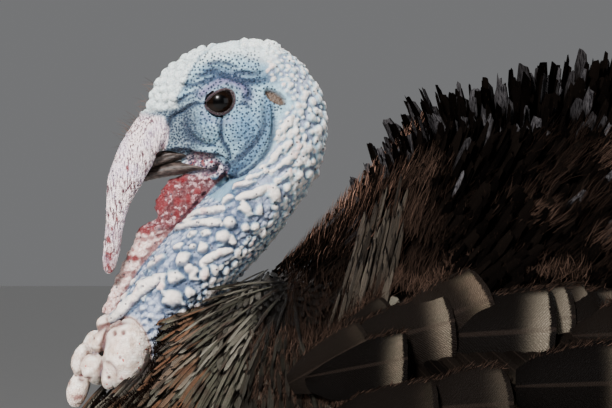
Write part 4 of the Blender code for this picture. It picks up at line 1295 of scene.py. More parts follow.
ROUND_TIP = ((0, 0.16), (0.2, 0.6), (0.45, 0.9), (0.7, 1.0), (0.88, 0.92), (1.0, 0.62))
SQUARE_TIP = ((0, 0.12), (0.25, 0.5), (0.5, 0.8), (0.78, 1.0), (0.93, 0.98), (1.0, 0.80))
SPOON_TIP = ((0, 0.10), (0.3, 0.24), (0.55, 0.38), (0.75, 0.76), (0.88, 1.0), (0.95, 0.95), (1.0, 0.60))
STRIP_TIP = ((0, 0.3), (0.2, 0.8), (0.5, 1.0), (0.8, 0.9), (0.93, 0.62), (1.0, 0.3))
BROAD_TIP = ((0, 0.4), (0.2, 0.76), (0.45, 0.94), (0.7, 1.0), (0.92, 0.98), (0.97, 0.93), (1.0, 0.82))
HAIR = ((0, 0.8), (0.5, 1.0), (0.8, 0.6), (1.0, 0.1))


def vane_faces(count, rows, columns):
    """Faces of a number of closed vanes: a curved top, a flat underside and a fan at each end."""
    a = (np.arange(rows - 1)[:, None] * columns + np.arange(columns - 1)).ravel()
    upper = np.stack([a, a + 1, a + columns + 1, a + columns], 1)
    r = np.arange(rows - 1) * columns
    under = np.stack([r, r + columns, r + 2 * columns - 1, r + columns - 1], 1)
    fans = []
    for start in (0, (rows - 1) * columns):
        fan = [(start, start + k, start + k + 1) for k in range(1, columns - 1)]
        fans += [f[::-1] if start == 0 else f for f in fan]
    shift = (np.arange(count) * rows * columns)[:, None, None]
    quads = (np.vstack([upper, under])[None] + shift).reshape(-1, 4)
    return quads, (np.array(fans)[None] + shift).reshape(-1, 3)


def unwrap(mesh, places):
    """The OFBake unwrap, from a place on it for each vertex."""
    corners = np.zeros(len(mesh.loops), np.int32)
    mesh.loops.foreach_get("vertex_index", corners)
    layer = mesh.uv_layers.new(name="OFBake")
    layer.data.foreach_set("uv", places[corners].astype(np.float32).ravel())


def vanes(name, path, across, out, width, outline, tone, kind, patch, columns=5, camber=0.10, fray=0.02,
          notch=0.05, seed=3):
    """Feathers as closed thin solids, joined in one mesh.

    path is (feathers, rows, 3), from root to tip. across and out are (feathers, 3), or with a row
    for each point of the path. tone and kind are stored for the material, and patch is where
    each feather's root lies on the skin's unwrap, with the patch's size.
    """
    rng = np.random.default_rng(seed)
    count, rows = path.shape[:2]
    u = np.linspace(0, 1, rows)
    v = np.linspace(-1, 1, columns)
    if across.ndim == 2:
        across = np.repeat(across[:, None], rows, axis=1)
    if out.ndim == 2:
        out = np.repeat(out[:, None], rows, axis=1)
    along = np.gradient(path, axis=1)
    along /= np.linalg.norm(along, axis=2)[..., None] + 1e-12
    face = np.cross(across, along)
    face *= np.sign((face * out).sum(2))[..., None]
    face /= np.linalg.norm(face, axis=2)[..., None] + 1e-12
    shape = np.interp(u, *zip(*outline))
    half = width[:, None] / 2 * shape[None]
    rim = v[None, None, :] * half[..., None]
    rim = rim * (1 + rng.uniform(-fray, fray, rim.shape) * 2 * (np.abs(v) > 0.9))
    arch = -camber * width[:, None, None] * v[None, None] ** 2 * (0.4 + 0.6 * shape)[None, :, None]
    length = np.linalg.norm(path[:, -1] - path[:, 0], axis=1)
    slide = rng.uniform(-fray, fray, (count, rows, columns)) * (u[None, :, None] > 0.9)
    slide = (slide - notch * v**2 * ramp(u[:, None], 0.8, 1.0)) * length[:, None, None]
    top = path[:, :, None] + across[:, :, None] * rim[..., None] + face[:, :, None] * arch[..., None]
    top = top + along[:, :, None] * slide[..., None]
    points = top.reshape(-1, 3)
    quads, tris = vane_faces(count, rows, columns)
    wound = np.cross(points[quads[0, 1]] - points[quads[0, 0]], points[quads[0, 2]] - points[quads[0, 0]])
    sample = face.reshape(-1, 3)[0]
    if wound @ sample < 0:
        quads, tris = quads[:, ::-1], tris[:, ::-1]
    obj = mesh_object(name, points, quads, tris)
    mesh = obj.data
    mesh.set_sharp_from_angle(angle=math.radians(70))
    uu = np.broadcast_to(u[None, :, None], (count, rows, columns))
    vv = np.broadcast_to(v[None, None, :] * 0.5 + 0.5, (count, rows, columns))
    chance = np.broadcast_to(rng.random(count)[:, None, None], uu.shape)
    tones = np.broadcast_to(np.asarray(tone)[:, None, None], uu.shape)
    store(mesh, "vane", np.stack([uu, vv, chance, tones], -1).reshape(-1, 4))
    amounts = np.broadcast_to(np.asarray(kind)[:, None, None, :], (*uu.shape, 4))
    store(mesh, "kind", amounts.reshape(-1, 4))
    place = np.stack([
        patch[:, 0, None, None] + (vv - 0.5) * patch[:, 2, None, None],
        patch[:, 1, None, None] + uu * patch[:, 3, None, None],
    ], -1).reshape(-1, 2)
    unwrap(mesh, place)
    return obj


PATCH = 0.003  # a feather's share of the skin's unwrap


def bezier(root, middle, tip, rows):
    u = np.linspace(0, 1, rows)[None, :, None]
    return (1 - u) ** 2 * root[:, None] + 2 * u * (1 - u) * middle[:, None] + u**2 * tip[:, None]


def turned(across, axis, angle):
    """across turned about an axis at right angles to it."""
    other = np.cross(axis, across)
    return across * np.cos(angle)[:, None] + other * np.sin(angle)[:, None]


def unit(vectors):
    return vectors / (np.linalg.norm(vectors, axis=1)[:, None] + 1e-12)


def body_rows(start, end, low, high, row_gap, column_gap, rng):
    """Staggered roots between two shares of the body and two angles from the top, on both sides.

    Returns the roots' place down and round the body, with the rows' and columns' local gaps.
    """
    found = []
    down, number = start, 0
    while down < end:
        turns = np.linspace(0, 1, 181)
        ring = surface(np.full(181, down), turns)
        lengths = np.concatenate([[0], np.cumsum(np.linalg.norm(np.diff(ring, axis=0), axis=1))])
        gap = column_gap(down)
        total = max(3, int(lengths[-1] / gap))
        marks = (np.arange(total) + 0.5 * (number % 2) + rng.uniform(-0.18, 0.18, total)) / total
        turn = np.interp(marks % 1.0, lengths / lengths[-1], turns)
        angle = from_top(turn)
        turn = turn[(angle >= low) & (angle < high)]
        side = surface(np.array([down, min(down + 0.01, 1)]), np.array([0.3, 0.3]))
        step = row_gap(down) / (np.linalg.norm(side[1] - side[0]) / 0.01 + 1e-9)
        step = min(max(step, 0.003), 0.06)
        found.append(np.stack([down + rng.uniform(-0.12, 0.12, len(turn)) * step, turn], axis=1))
        down += step
        number += 1
    return np.vstack(found)


def steps(down, turn):
    """Metres for a whole share down the body and round it, at each place."""
    e = 0.004
    a = surface(np.clip(down + e, 0, 1), turn) - surface(np.clip(down - e, 0, 1), turn)
    b = surface(down, turn + e) - surface(down, turn - e)
    return np.linalg.norm(a, axis=1) / (2 * e) + 1e-6, np.linalg.norm(b, axis=1) / (2 * e) + 1e-6


def clear_of_neck(points, tree, margin=0.0):
    """True where a point is outside the bare neck."""
    keep = np.ones(len(points), bool)
    for k, point in enumerate(points):
        place, normal, _, _ = tree.find_nearest(Vector(point), 0.06)
        if place is not None and (Vector(point) - place).dot(normal) < margin:
            keep[k] = False
    return keep


# The front edge of the breast's feathers in side view, from below the lobes up to the nape.
BORDER = [
    (-158, -72), (-151, -69), (-150, -53), (-145, -43.5), (-136.6, -39), (-121.9, -35.8), (-113, -35),
    (-108.1, -26.8), (-104.9, -19.5), (-99.2, -13.8), (-93.5, -8.2), (-90.3, -2.5), (-85.4, 7.3), (-82, 21),
]


def behind_border(points):
    """True where a point lies behind the bare skin's edge on the breast, or below the lobes."""
    x, _, z = ((points - EYES) / MM).T
    edge = np.interp(z, *np.array(BORDER).T)
    return (x > edge) | (z < BORDER[0][0])


def coat(name, places, back, rise, depth, width, outline, rows, columns, bow, kind, neck=None, seed=5,
         lift=0.0, sway=0.16, **shape):
    """Feathers rooted at places on the body, with their tips on its outer surface.

    back and rise are how far the tip lies down the body and up its side from the root, in
    metres; depth is how far below the tips the roots are, and width each feather's width.
    """
    rng = np.random.default_rng(seed)
    down, turn = places.T
    per_down, per_turn = steps(down, turn)
    to_top = np.where((turn % 1.0) < 0.5, -1.0, 1.0)
    tip_down = down + back * rng.uniform(0.9, 1.1, len(down)) / per_down
    tip_turn = turn + to_top * np.minimum(rise / per_turn, from_top(turn) / 360 * 0.96)
    root = surface(down, turn) - outward(down, turn) * depth[:, None]
    inset = rng.uniform(0, 1, len(down)) ** 2 * 0.25 * depth - lift
    tip = surface(tip_down, tip_turn) - outward(tip_down, tip_turn) * inset[:, None]
    if neck is not None:
        keep = clear_of_neck(root, neck, -0.002) & clear_of_neck(tip, neck, 0.0) & behind_border(tip)
        keep &= behind_border((root + tip) / 2)
        root, tip, down, turn, depth = root[keep], tip[keep], down[keep], turn[keep], depth[keep]
        width, kind = width[keep], kind[keep]
    out = outward(down, turn)
    middle = (root + tip) / 2 + out * (bow * depth)[:, None]
    path = bezier(root, middle, tip, rows)
    along = unit(tip - root)
    across = unit(np.cross(along, out))
    across = turned(across, along, rng.normal(0, sway, len(root)))
    tone = rng.random(len(root))
    patch = np.stack([turn % 1.0, down, np.full(len(root), PATCH), np.full(len(root), PATCH)], axis=1)
    width = width * rng.uniform(0.88, 1.12, len(root))
    return vanes(name, path, across, out, width, outline, tone, kind, patch, columns, seed=seed, **shape)


def kinds(count, bronze=0.0, rust=0.0, bright=0.0, grey=0.0):
    """The same four amounts for each feather, or an array for one of them."""
    # The first amount is the band before the tip, partly the feathers' own metallic colour and partly a
    # painted sheen; the last gives the mantle's grey fans, partly own grey and partly painted sheen.
    return np.stack([np.broadcast_to(amount, (count,)).astype(float)
                     for amount in (bronze, rust, bright, grey)], 1)


def finish_piece(obj, material, slot, *nodes):
    obj.data.materials.append(material)
    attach(obj, "root")
    if nodes:
        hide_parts(*nodes)
    return obj


def grow(near, far, low=0.05, high=0.34):
    """A spacing that grows from near to far as the share down the body goes from low to high."""
    return lambda down: near + (far - near) * float(ramp(np.array(down), low, high))


def breast_feathers(neck, material, rng):
    """Breast and sides of the neck's base: long narrow feathers that fan from the nape."""
    places = body_rows(0.012, 0.31, 70, 181, grow(0.0110, 0.0135, 0.10), grow(0.0024, 0.0070, 0.10), rng)
    d, t = places.T
    size = ramp(d, 0.10, 0.34)
    below = ramp(from_top(t), 120, 150) * (1 - ramp(d, 0.18, 0.30))
    reach = 0.026 + 0.022 * size
    x, _, z = ((surface(np.clip(d + reach / steps(d, t)[0], 0, 1), t) - EYES) / MM).T
    light = 1 - 0.97 * (1 - ramp(np.hypot(x - 48, (z + 106) * 0.8), 24, 34))
    bronze = rng.uniform(0.1, 0.6, len(d)) * light
    kind = kinds(len(d), bronze=bronze, bright=below * (rng.random(len(d)) < 0.4))
    piece = coat("feathers_breast", places, reach, 0 * d, coat_depth(d, t) * 0.5, 0.0034 + 0.0080 * size,
                 STRIP_TIP, 7, 5, 0.45, kind, neck, seed=31, camber=0.16, fray=0.03)
    finish_piece(piece, material, "body_feather", "trunk")


FLANK_GAP = 0.0125  # metres between roots, down the body and round it


def flank_and_rump(neck, material, rng):
    """Belly, flanks and rump: broad square feathers in even rows."""
    for label, start, end, low, high in (("flank", 0.30, 0.58, 66, 181), ("rear", 0.58, 0.985, 0, 181)):
        places = body_rows(start, end, low, high, lambda s: FLANK_GAP, lambda s: FLANK_GAP, rng)
        d, t = places.T
        bright = 0.6 * (rng.random(len(d)) < 0.2)
        kind = kinds(len(d), bronze=0.32, rust=ramp(d, 0.62, 0.85) * 0.9, bright=bright)
        piece = coat("feathers_" + label, places, np.full(len(d), 0.046), 0 * d, coat_depth(d, t),
                     np.full(len(d), 0.024), SQUARE_TIP, 6, 5, 0.5, kind, neck, seed=37)
        finish_piece(piece, material, "body_feather", "trunk")


def mantle_feathers(neck, material, rng):
    """The mantle: front slope and crest, black with some slate-grey fans at the tips, partly their own grey
    and partly a painted sheen.
    """
    places = body_rows(0.012, 0.66, 0, 84, grow(0.0065, 0.0080), grow(0.0042, 0.0066), rng)
    d, t = places.T
    crest = 1 - ramp(from_top(t), 24, 46)
    front = 1 - ramp(d, 0.10, 0.30)
    depth = coat_depth(d, t) * (0.72 + 0.4 * crest)
    rise = (0.044 - 0.034 * crest) * (1 - 0.2 * front)
    back = 0.016 + 0.012 * (1 - crest) + 0.02 * ramp(d, 0.5, 0.66)
    along = (surface(d, t)[:, 0] - EYES[0]) / MM
    lift = 0.009 * np.exp(-(((along - 92) / 24) ** 2)) - 0.004 * (1 - ramp(along, 45, 70))
    lift = lift + 0.005 * rng.uniform(-1, 1, len(d)) * crest
    # Some tips get a slate-grey fan, partly their own grey and partly a painted sheen.
    fans = (rng.random(len(d)) < 0.04 + 0.22 * crest) * rng.uniform(0.25, 1.0, len(d))
    width = rng.uniform(0.0045, 0.0085, len(d)) + 0.003 * (fans > 0)
    for side, chosen in (("left", t % 1.0 < 0.5), ("right", t % 1.0 >= 0.5)):
        sizes = [values[chosen] for values in (places, back, rise, depth, width)]
        piece = coat(f"feathers_mantle_{side}", *sizes, SPOON_TIP, 7, 5, 0.12,
                     kinds(int(chosen.sum()), grey=fans[chosen]), neck, seed=41,
                     camber=0.20, fray=0.026, notch=0.022, lift=lift[chosen], sway=0.34)
        finish_piece(piece, material, "body_feather", "trunk")


def front_fringe(neck, material, rng):
    """A brown fringe down the mantle's front slope."""
    places = body_rows(0.008, 0.20, 0, 60, lambda s: 0.0034, lambda s: 0.0026, rng)
    d, t = places.T
    full = np.full(len(d), 1.0)
    rust = rng.random(len(d)) ** (0.7 + ramp(from_top(t), 8, 24))
    bright = rng.random(len(d)) < 0.35 + 0.5 * (from_top(t) < 16)
    piece = coat("feathers_fringe", places, full * 0.010, full * 0.004, full * 0.007, full * 0.0009,
                 HAIR, 4, 3, 0.3, kinds(len(d), rust=rust, bright=bright), neck, seed=43,
                 lift=0.0015 * rng.random(len(d)))
    finish_piece(piece, material, "body_feather")


def body_coat(neck, material, mantle_material):
    """The trunk's feathers but for the ruff and the strips; the parts draw from one row of numbers."""
    rng = np.random.default_rng(21)
    breast_feathers(neck, material, rng)
    flank_and_rump(neck, material, rng)
    mantle_feathers(neck, mantle_material, rng)
    front_fringe(neck, mantle_material, rng)


def feather_material(name, band_at, olive, brown, bright_colour, light, roughness, steepness=1.0,
                     shine=0.10):
    """Dark vanes with barbs and a shaft, a metallic band before the tip and a black edge. The band is
    partly the feathers' own metallic colour and partly a painted sheen.

    band_at holds the shares of the length where the band starts, is full, and has ended.
    """
    paint = Paint(name)
    u, v, chance, tone = paint.attribute("vane")
    bronze, rust, bright, grey = paint.attribute("kind")
    side = paint.math("ABSOLUTE", paint.math("SUBTRACT", v, 0.5))
    plain = paint.vector()
    cloud = paint.noise(plain, 11.0, 2.0)
    fine = paint.noise(plain, 1.0, 3.0, 0.6)
    barb = paint.plus(paint.times(u, 46.0), paint.times(side, -30.0))
    barb = paint.plus(barb, paint.times(fine, 1.5))
    barb = paint.math("SINE", paint.times(barb, 6.283))
    ragged = paint.plus(u, paint.off_middle(fine, 0.06))
    ragged = paint.plus(ragged, paint.times(paint.times(side, side), 0.12))

    base = paint.mix(chance, (0.0012, 0.0009, 0.0008), (0.0052, 0.0038, 0.0030))
    metal = paint.mix(paint.between(cloud, 0.42, 0.62), olive, brown)
    metal = paint.mix(paint.between(tone, 0.35, 1.0, 0.0, 0.85), metal, light)
    metal = paint.mix(bright, metal, bright_colour)
    start, full, fading, ended = band_at
    # The band before the tip is partly the feathers' own metallic colour and partly a painted sheen, and
    # fades towards each vane's edges.
    growing = paint.between(ragged, start, full)
    band = paint.times(paint.math("POWER", growing, steepness), paint.between(ragged, ended, fading))
    band = paint.times(band, paint.between(side, 0.47, 0.36))
    band = paint.times(band, bronze)
    metal = paint.mix(grey, metal, (0.105, 0.084, 0.066))
    colour = paint.mix(band, base, metal)
    stripes = paint.times(paint.between(barb, 0.2, 1.0, 0.0, 0.5), band)
    colour = paint.mix(stripes, colour, base)
    tip = paint.between(ragged, 0.90, 0.95)
    rusty = paint.mix(chance, (0.16, 0.058, 0.020), (0.26, 0.11, 0.045))
    colour = paint.mix(paint.times(tip, rust), colour, rusty)
    shaft = paint.between(side, 0.035, 0.015)
    colour = paint.mix(paint.times(shaft, 0.25), colour, (0.020, 0.014, 0.011))
    normal = paint.bump(barb, 0.00014)
    made = paint.finish(colour, paint.between(fine, 0.2, 0.8, roughness - 0.08, roughness + 0.10), normal)
    paint.put(paint.shader.inputs["Metallic"], paint.times(band, 0.3))
    paint.shader.inputs["Specular IOR Level"].default_value = shine
    return made


def mantle_paint():
    """Black feathers, some with a slate-grey fan at the tip that is partly their own grey and partly a
    painted sheen, and brown loose barbs.
    """
    paint = Paint("mantle_feathers")
    u, v, chance, tone = paint.attribute("vane")
    _, rust, bright, grey = paint.attribute("kind")
    side = paint.math("ABSOLUTE", paint.math("SUBTRACT", v, 0.5))
    fine = paint.noise(paint.vector(), 1.0, 3.0, 0.6)
    streak = paint.noise(paint.vector((1.6, 1.6, 0.22)), 1.1, 3.0, 0.6)
    base = paint.mix(chance, (0.0005, 0.0004, 0.0004), (0.0024, 0.0018, 0.0015))
    base = paint.mix(paint.between(streak, 0.62, 0.76), base, (0.010, 0.0065, 0.0048))
    # The fans' slate grey is partly the tips' own colour and partly a painted sheen.
    slate = paint.mix(paint.between(streak, 0.35, 0.62), (0.005, 0.005, 0.006), (0.046, 0.044, 0.047))
    fan = paint.times(paint.between(u, 0.66, 0.84), paint.between(side, 0.49, 0.40))
    fan = paint.times(fan, grey)
    colour = paint.mix(fan, base, slate)
    brown = paint.mix(tone, (0.012, 0.008, 0.006), (0.090, 0.055, 0.041))
    brown = paint.mix(bright, brown, paint.mix(tone, (0.09, 0.048, 0.034), (0.27, 0.155, 0.115)))
    colour = paint.mix(rust, colour, brown)
    return paint.finish(colour, paint.between(fine, 0.2, 0.8, 0.48, 0.70), paint.bump(streak, 0.0004),
                        Specular_IOR_Level=0.0)


# ---------------------------------------------------------------- feathers laid on the sides


NO_SOLID = 0.01  # metres from the middle plane, below which the map holds no solid
GROWN = 12  # cells by which the map is carried past the solids' outline


class SideMap:
    """How far out the solids reach, on a grid over x and z. Both sides of the bird are alike."""

    def __init__(self, nodes, gap=0.004, blurs=3):
        trees = []
        for node in nodes:
            trees.append(tree_of(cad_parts[node].data))
        low = np.min([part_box(node)[0] for node in nodes], axis=0) - 0.02
        high = np.max([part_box(node)[1] for node in nodes], axis=0) + 0.02
        self.low, self.gap = low, gap
        shape = (int((high[0] - low[0]) / gap) + 1, int((high[2] - low[2]) / gap) + 1)
        reach = np.zeros(shape)
        for i, j in np.ndindex(*shape):
            start = Vector((low[0] + i * gap, -0.6, low[2] + j * gap))
            for tree in trees:
                hit = tree.ray_cast(start, Vector((0, 1, 0)))[0]
                if hit is not None:
                    reach[i, j] = max(reach[i, j], -hit.y)
        self.solid = reach > NO_SOLID
        for _ in range(GROWN):
            spread = np.pad(reach, 1, mode="edge")
            near = np.max([spread[2:, 1:-1], spread[:-2, 1:-1], spread[1:-1, 2:], spread[1:-1, :-2]],
                          axis=0)
            reach = np.where(reach < NO_SOLID, near, reach)
        for _ in range(blurs):
            wide = np.pad(reach, 1, mode="edge")
            beside = wide[2:, 1:-1] + wide[:-2, 1:-1] + wide[1:-1, 2:] + wide[1:-1, :-2]
            reach = (beside + 2 * wide[1:-1, 1:-1]) / 6
        self.reach = reach

    def inside(self, flat):
        """True where points in side view, in millimetres from the eye, lie over the solids."""
        a = ((EYES[0] + flat[:, 0] * MM - self.low[0]) / self.gap).astype(int)
        b = ((EYES[2] + flat[:, 1] * MM - self.low[2]) / self.gap).astype(int)
        within = (a >= 0) & (b >= 0) & (a < self.solid.shape[0]) & (b < self.solid.shape[1])
        return within & self.solid[a * within, b * within]

    def out(self, x, z):
        a = np.clip((x - self.low[0]) / self.gap, 0, self.reach.shape[0] - 1.001)
        b = np.clip((z - self.low[2]) / self.gap, 0, self.reach.shape[1] - 1.001)
        i, j = a.astype(int), b.astype(int)
        s, t = a - i, b - j
        lower = self.reach[i, j] * (1 - s) + self.reach[i + 1, j] * s
        upper = self.reach[i, j + 1] * (1 - s) + self.reach[i + 1, j + 1] * s
        return lower * (1 - t) + upper * t

    def normal(self, x, z, sign):
        e = 0.006  # metres to each side, over which the slope is taken
        slope_x = (self.out(x + e, z) - self.out(x - e, z)) / (2 * e)
        slope_z = (self.out(x, z + e) - self.out(x, z - e)) / (2 * e)
        normal = np.stack([-slope_x, np.full(x.shape, sign), -slope_z], -1)
        return normal / np.linalg.norm(normal, axis=-1)[..., None]


def across_shafts(path, out, turn):
    """Unit steps across each shaft at right angles to out, then turned about the shaft."""
    along = np.gradient(path, axis=1)
    along /= np.linalg.norm(along, axis=2)[..., None]
    across = np.cross(along, out)
    across /= np.linalg.norm(across, axis=2)[..., None]
    return across * np.cos(turn) + np.cross(along, across) * np.sin(turn)


def laid(name, side_map, sign, roots, tips, root_lift, tip_lift, width, outline, kind, rows=8, columns=5,
         roll=0.0, bend=0.0, upright=0.0, patch_size=PATCH, seed=9, **shape):
    """Feathers lying on the side of the bird. Roots and tips are (x, z) in millimetres from the eye.

    Lifts are metres out from the solids' surface, roll turns each feather about its shaft,
    bend bows the shaft in the plane of the side by a share of its length, and upright turns
    feathers on a slope to face the side.
    """
    u = np.linspace(0, 1, rows)[None, :, None]
    flat = roots[:, None] * (1 - u) + tips[:, None] * u
    sideways = np.stack([-(tips - roots)[:, 1], (tips - roots)[:, 0]], 1)
    flat = flat + sideways[:, None] * np.reshape(bend, (-1, 1, 1)) * 4 * u * (1 - u)
    x, z = EYES[0] + flat[..., 0] * MM, EYES[2] + flat[..., 1] * MM
    share = u[..., 0]
    lift = root_lift[:, None] * (1 - share) + tip_lift[:, None] * share
    y = sign * (side_map.out(x, z) + lift)
    path = np.stack([x, y, z], -1)
    out = side_map.normal(x, z, sign) * (1 - upright) + np.array([0, sign * upright, 0])
    across = across_shafts(path, out, np.reshape(roll, (-1, 1, 1)) * sign)
    size = np.broadcast_to(patch_size, (len(roots), 2) if np.ndim(patch_size) else (len(roots), 1))
    place = (roots - np.array([-100, -600])) / np.array([700, 700])
    patch = np.hstack([place, np.broadcast_to(size, (len(roots), 2))])
    tone = np.random.default_rng(seed).random(len(roots))
    return vanes(name, path, across, out, width, outline, tone, kind, patch, columns, seed=seed, **shape)


WING_LEAD = [(0.00, 116, -350), (0.15, 82, -285), (0.30, 58, -230), (0.45, 50, -180),
             (0.62, 66, -138), (0.80, 110, -111), (1.00, 180, -99)]
WING_TRAIL = [(0.00, 148, -581), (0.15, 186, -581), (0.30, 230, -567), (0.45, 280, -519),
              (0.62, 346, -435), (0.80, 406, -335), (1.00, 446, -229)]
PRIMARY_SHARE = 0.40
WING_QUILLS = [  # from and to shares of the fan, number, and width over the gap between neighbours
    ("primaries", 0.005, PRIMARY_SHARE, 10, 1.45),
    ("secondaries", PRIMARY_SHARE, 0.985, 13, 1.6),
]
REMEX = ((0, 0.30), (0.3, 0.62), (0.7, 0.95), (0.9, 1.0), (0.96, 0.93), (0.985, 0.78), (1.0, 0.45))
COVERT_ROWS = [  # root and tip as shares of the feathers' length, number, width and lift in mm, and the band's strength (own colour and painted sheen)
    (0.150, 0.440, 24, 30, 0.4, 1.0),
    (0.110, 0.300, 30, 25, 1.6, 1.0),
    (0.075, 0.225, 36, 20, 2.6, 0.9),
    (0.045, 0.165, 42, 17, 3.2, 0.8),
    (0.015, 0.120, 48, 15, 2.8, 0.3),
]


def wing_place(t, s):
    """Places in side view for shares t of the wing's fan and s of the feathers' length."""
    lead, trail = smooth_rows(WING_LEAD, 6), smooth_rows(WING_TRAIL, 6)
    t = np.clip(t, 0, 1)
    a = np.stack([np.interp(t, lead[:, 0], lead[:, k]) for k in (1, 2)], -1)
    b = np.stack([np.interp(t, trail[:, 0], trail[:, k]) for k in (1, 2)], -1)
    return a + (b - a) * np.reshape(s, (-1, 1))


def wings(side_map, quills, covert):
    """Lowered wings: the long quills of hand and arm, and rows of coverts over their bases."""
    for side, sign in SIDES:
        rng = np.random.default_rng(51)
        for label, start, end, number, wide in WING_QUILLS:
            t = start + (end - start) * (np.arange(number) + 0.5) / number
            roots = wing_place(t, np.full(number, 0.14))
            tips = wing_place(t, 1 - 0.012 * rng.random(number))
            tip_gap, root_gap = (np.linalg.norm(np.gradient(ends, axis=0), axis=1)
                                 for ends in (tips, roots))
            gap = tip_gap * 0.8 + root_gap * 0.2
            width = np.clip(gap * wide, 16, 46) * MM
            kind = kinds(number, bright=float(label == "primaries"))
            step = np.arange(number) * 0.00012
            piece = laid(f"wing_{side}_{label}_vanes", side_map, sign, roots, tips, step - 0.006,
                         step - 0.0045, width, REMEX, kind, 26, 9, roll=0.035, bend=0.03,
                         patch_size=(0.012, 0.22), camber=0.05, fray=0.003, notch=0.02, seed=52)
            finish_piece(piece, quills, "wing_feather", f"wing_{side}_{label}")
        parts = []
        for s_root, s_tip, number, width, lift, bronze in COVERT_ROWS:
            t = (np.arange(number) + 0.5 + rng.uniform(-0.12, 0.12, number)) / number
            parts.append((
                wing_place(t, s_root + rng.uniform(-0.006, 0.006, number)),
                wing_place(t - 0.01, s_tip + rng.uniform(-0.008, 0.008, number)),
                np.full(number, lift - 3.5) * MM, np.full(number, lift - 1.0) * MM,
                width * rng.uniform(0.92, 1.1, number) * MM,
                kinds(number, bronze=bronze * rng.uniform(0.3, 1, number)),
            ))
        roots, tips, low, high, width, kind = (np.concatenate(part) for part in zip(*parts))
        piece = laid(f"wing_{side}_coverts", side_map, sign, roots, tips, low, high, width, SQUARE_TIP,
                     kind, 10, 7, roll=0.05, camber=0.12, seed=53)
        finish_piece(piece, covert, "wing_covert", f"wing_{side}_arm")


SCAPULARS = [  # the tip's middle, the feather's width in mm, its rise in degrees, its layer and its band
    (75, -118, 24, 30, 7, 0.1), (87, -104, 20, 34, 4, 0.1), (93.5, -127, 30, 12, 7, 0.9),
    (116.4, -109, 36, 16, 7, 1), (135.2, -98, 38, 22, 8, 0.8), (165, -113, 47, 4, 3, 1),
    (175, -107, 38, 6, 2, 0.9), (188, -106, 38, 4, 1.2, 0.8), (108, -152, 34, 8, 2.5, 0.1),
    (144, -148, 36, 4, 1.5, 0.2), (203, -138, 38, 2, 4, 0.8), (210, -108, 40, 4, 1, 0.8),
    (233, -114, 40, 2, 1, 0.9), (228, -144, 38, -2, 3, 0.8), (256, -120, 40, -2, 1, 0.9),
    (256, -150, 38, -6, 2.5, 0.8), (280, -128, 38, -6, 1, 0.9), (305, -138, 36, -10, 1, 0.9),
    (284, -160, 36, -12, 2, 0.8), (324, -152, 34, -14, 1, 0.9),
]


def scapulars(side_map, covert, down):
    """The big square-ended feathers over the wing's upper edge, with a brown down on their upper rims."""
    rows, columns = 24, 15
    table = np.array(SCAPULARS, float)
    tip = table[:, :2]
    slope = np.radians(table[:, 3])
    ahead = np.stack([np.cos(slope), np.sin(slope)], 1)
    length = table[:, 2:3] * 0.9 + 24
    for side, sign in SIDES:
        layer = table[:, 4] * 0.0022
        piece = laid(f"scapulars_{side}", side_map, sign, tip - ahead * length, tip, layer - 0.001,
                     layer + 0.0055, table[:, 2] * 1.12 * MM, BROAD_TIP,
                     kinds(len(tip), bronze=table[:, 5]), rows, columns, roll=0.04, upright=0.62,
                     camber=0.16, fray=0.003, notch=0.06, seed=61)
        finish_piece(piece, covert, "wing_covert")
        grid = points_of(piece.data).reshape(len(tip), rows, columns, 3)
        if grid[3, 12, 0, 2] < grid[3, 12, -1, 2]:
            grid = grid[:, :, ::-1]
        rng = np.random.default_rng(62)
        count = 2600
        which, row = rng.integers(0, len(tip), count), rng.integers(3, rows - 2, count)
        rim, inner = grid[which, row, 0], grid[which, row, 1]
        onward = unit(grid[which, row + 1, 0] - rim)
        root = rim + (inner - rim) * rng.uniform(0, 1, (count, 1))
        root = root + onward * rng.uniform(-0.002, 0.002, (count, 1))
        way = unit(rim - inner) * 0.7 + onward * rng.uniform(0.2, 1.4, (count, 1))
        way = unit(way + rng.normal(0, 0.2, (count, 3)))
        end = root + way * rng.uniform(0.002, 0.0055, (count, 1))
        out = np.tile([0.0, sign, 0.0], (count, 1))
        patch = np.tile([0.5, 0.5, PATCH, PATCH], (count, 1))
        tuft = vanes(f"scapular_down_{side}", bezier(root, (root + end) / 2 + out * 0.0006, end, 4),
                     unit(np.cross(way, out)),
                     out, rng.uniform(0.0002, 0.0004, count), HAIR, rng.random(count),
                     kinds(count, rust=rng.uniform(0.0, 0.42, count)), patch, 3, camber=0.3, fray=0.0,
                     seed=63)
        finish_piece(tuft, down, "wing_covert")


def hairs_on_side(name, side_map, sign, starts, angles, lengths, widths, kind, seed, depth=0.006):
    """Thin tapered barbs that leave the coat at an angle in degrees, tips on its outer surface."""
    way = np.radians(angles)
    tips = starts + np.stack([np.cos(way), np.sin(way)], 1) * lengths[:, None]
    keep = side_map.inside(starts) & side_map.inside(tips * 1.1 - starts * 0.1)
    starts, tips, widths, kind = starts[keep], tips[keep], widths[keep], kind[keep]
    count = len(starts)
    rng = np.random.default_rng(seed)
    return laid(name, side_map, sign, starts, tips, np.full(count, -depth),
                rng.uniform(0.0002, 0.0022, count),
                widths * MM, HAIR, kind, 4, 3, bend=rng.uniform(-0.12, 0.12, count), camber=0.3, fray=0.0,
                seed=seed)


APEX = np.array([38.0, -92.0])  # where the feathers of the neck's side part
TO_BARE_SKIN = np.array([-1.6, 1.2])  # how close they may come to the bare skin's edge
RUFF_RINGS, RUFF_STEP, RUFF_GAP = 14, 8, 2.5  # rings round the apex, and mm between rings and feathers
RUFF_START, RUFF_FAN = 176, 108  # degrees: where the fan starts, and how far it goes


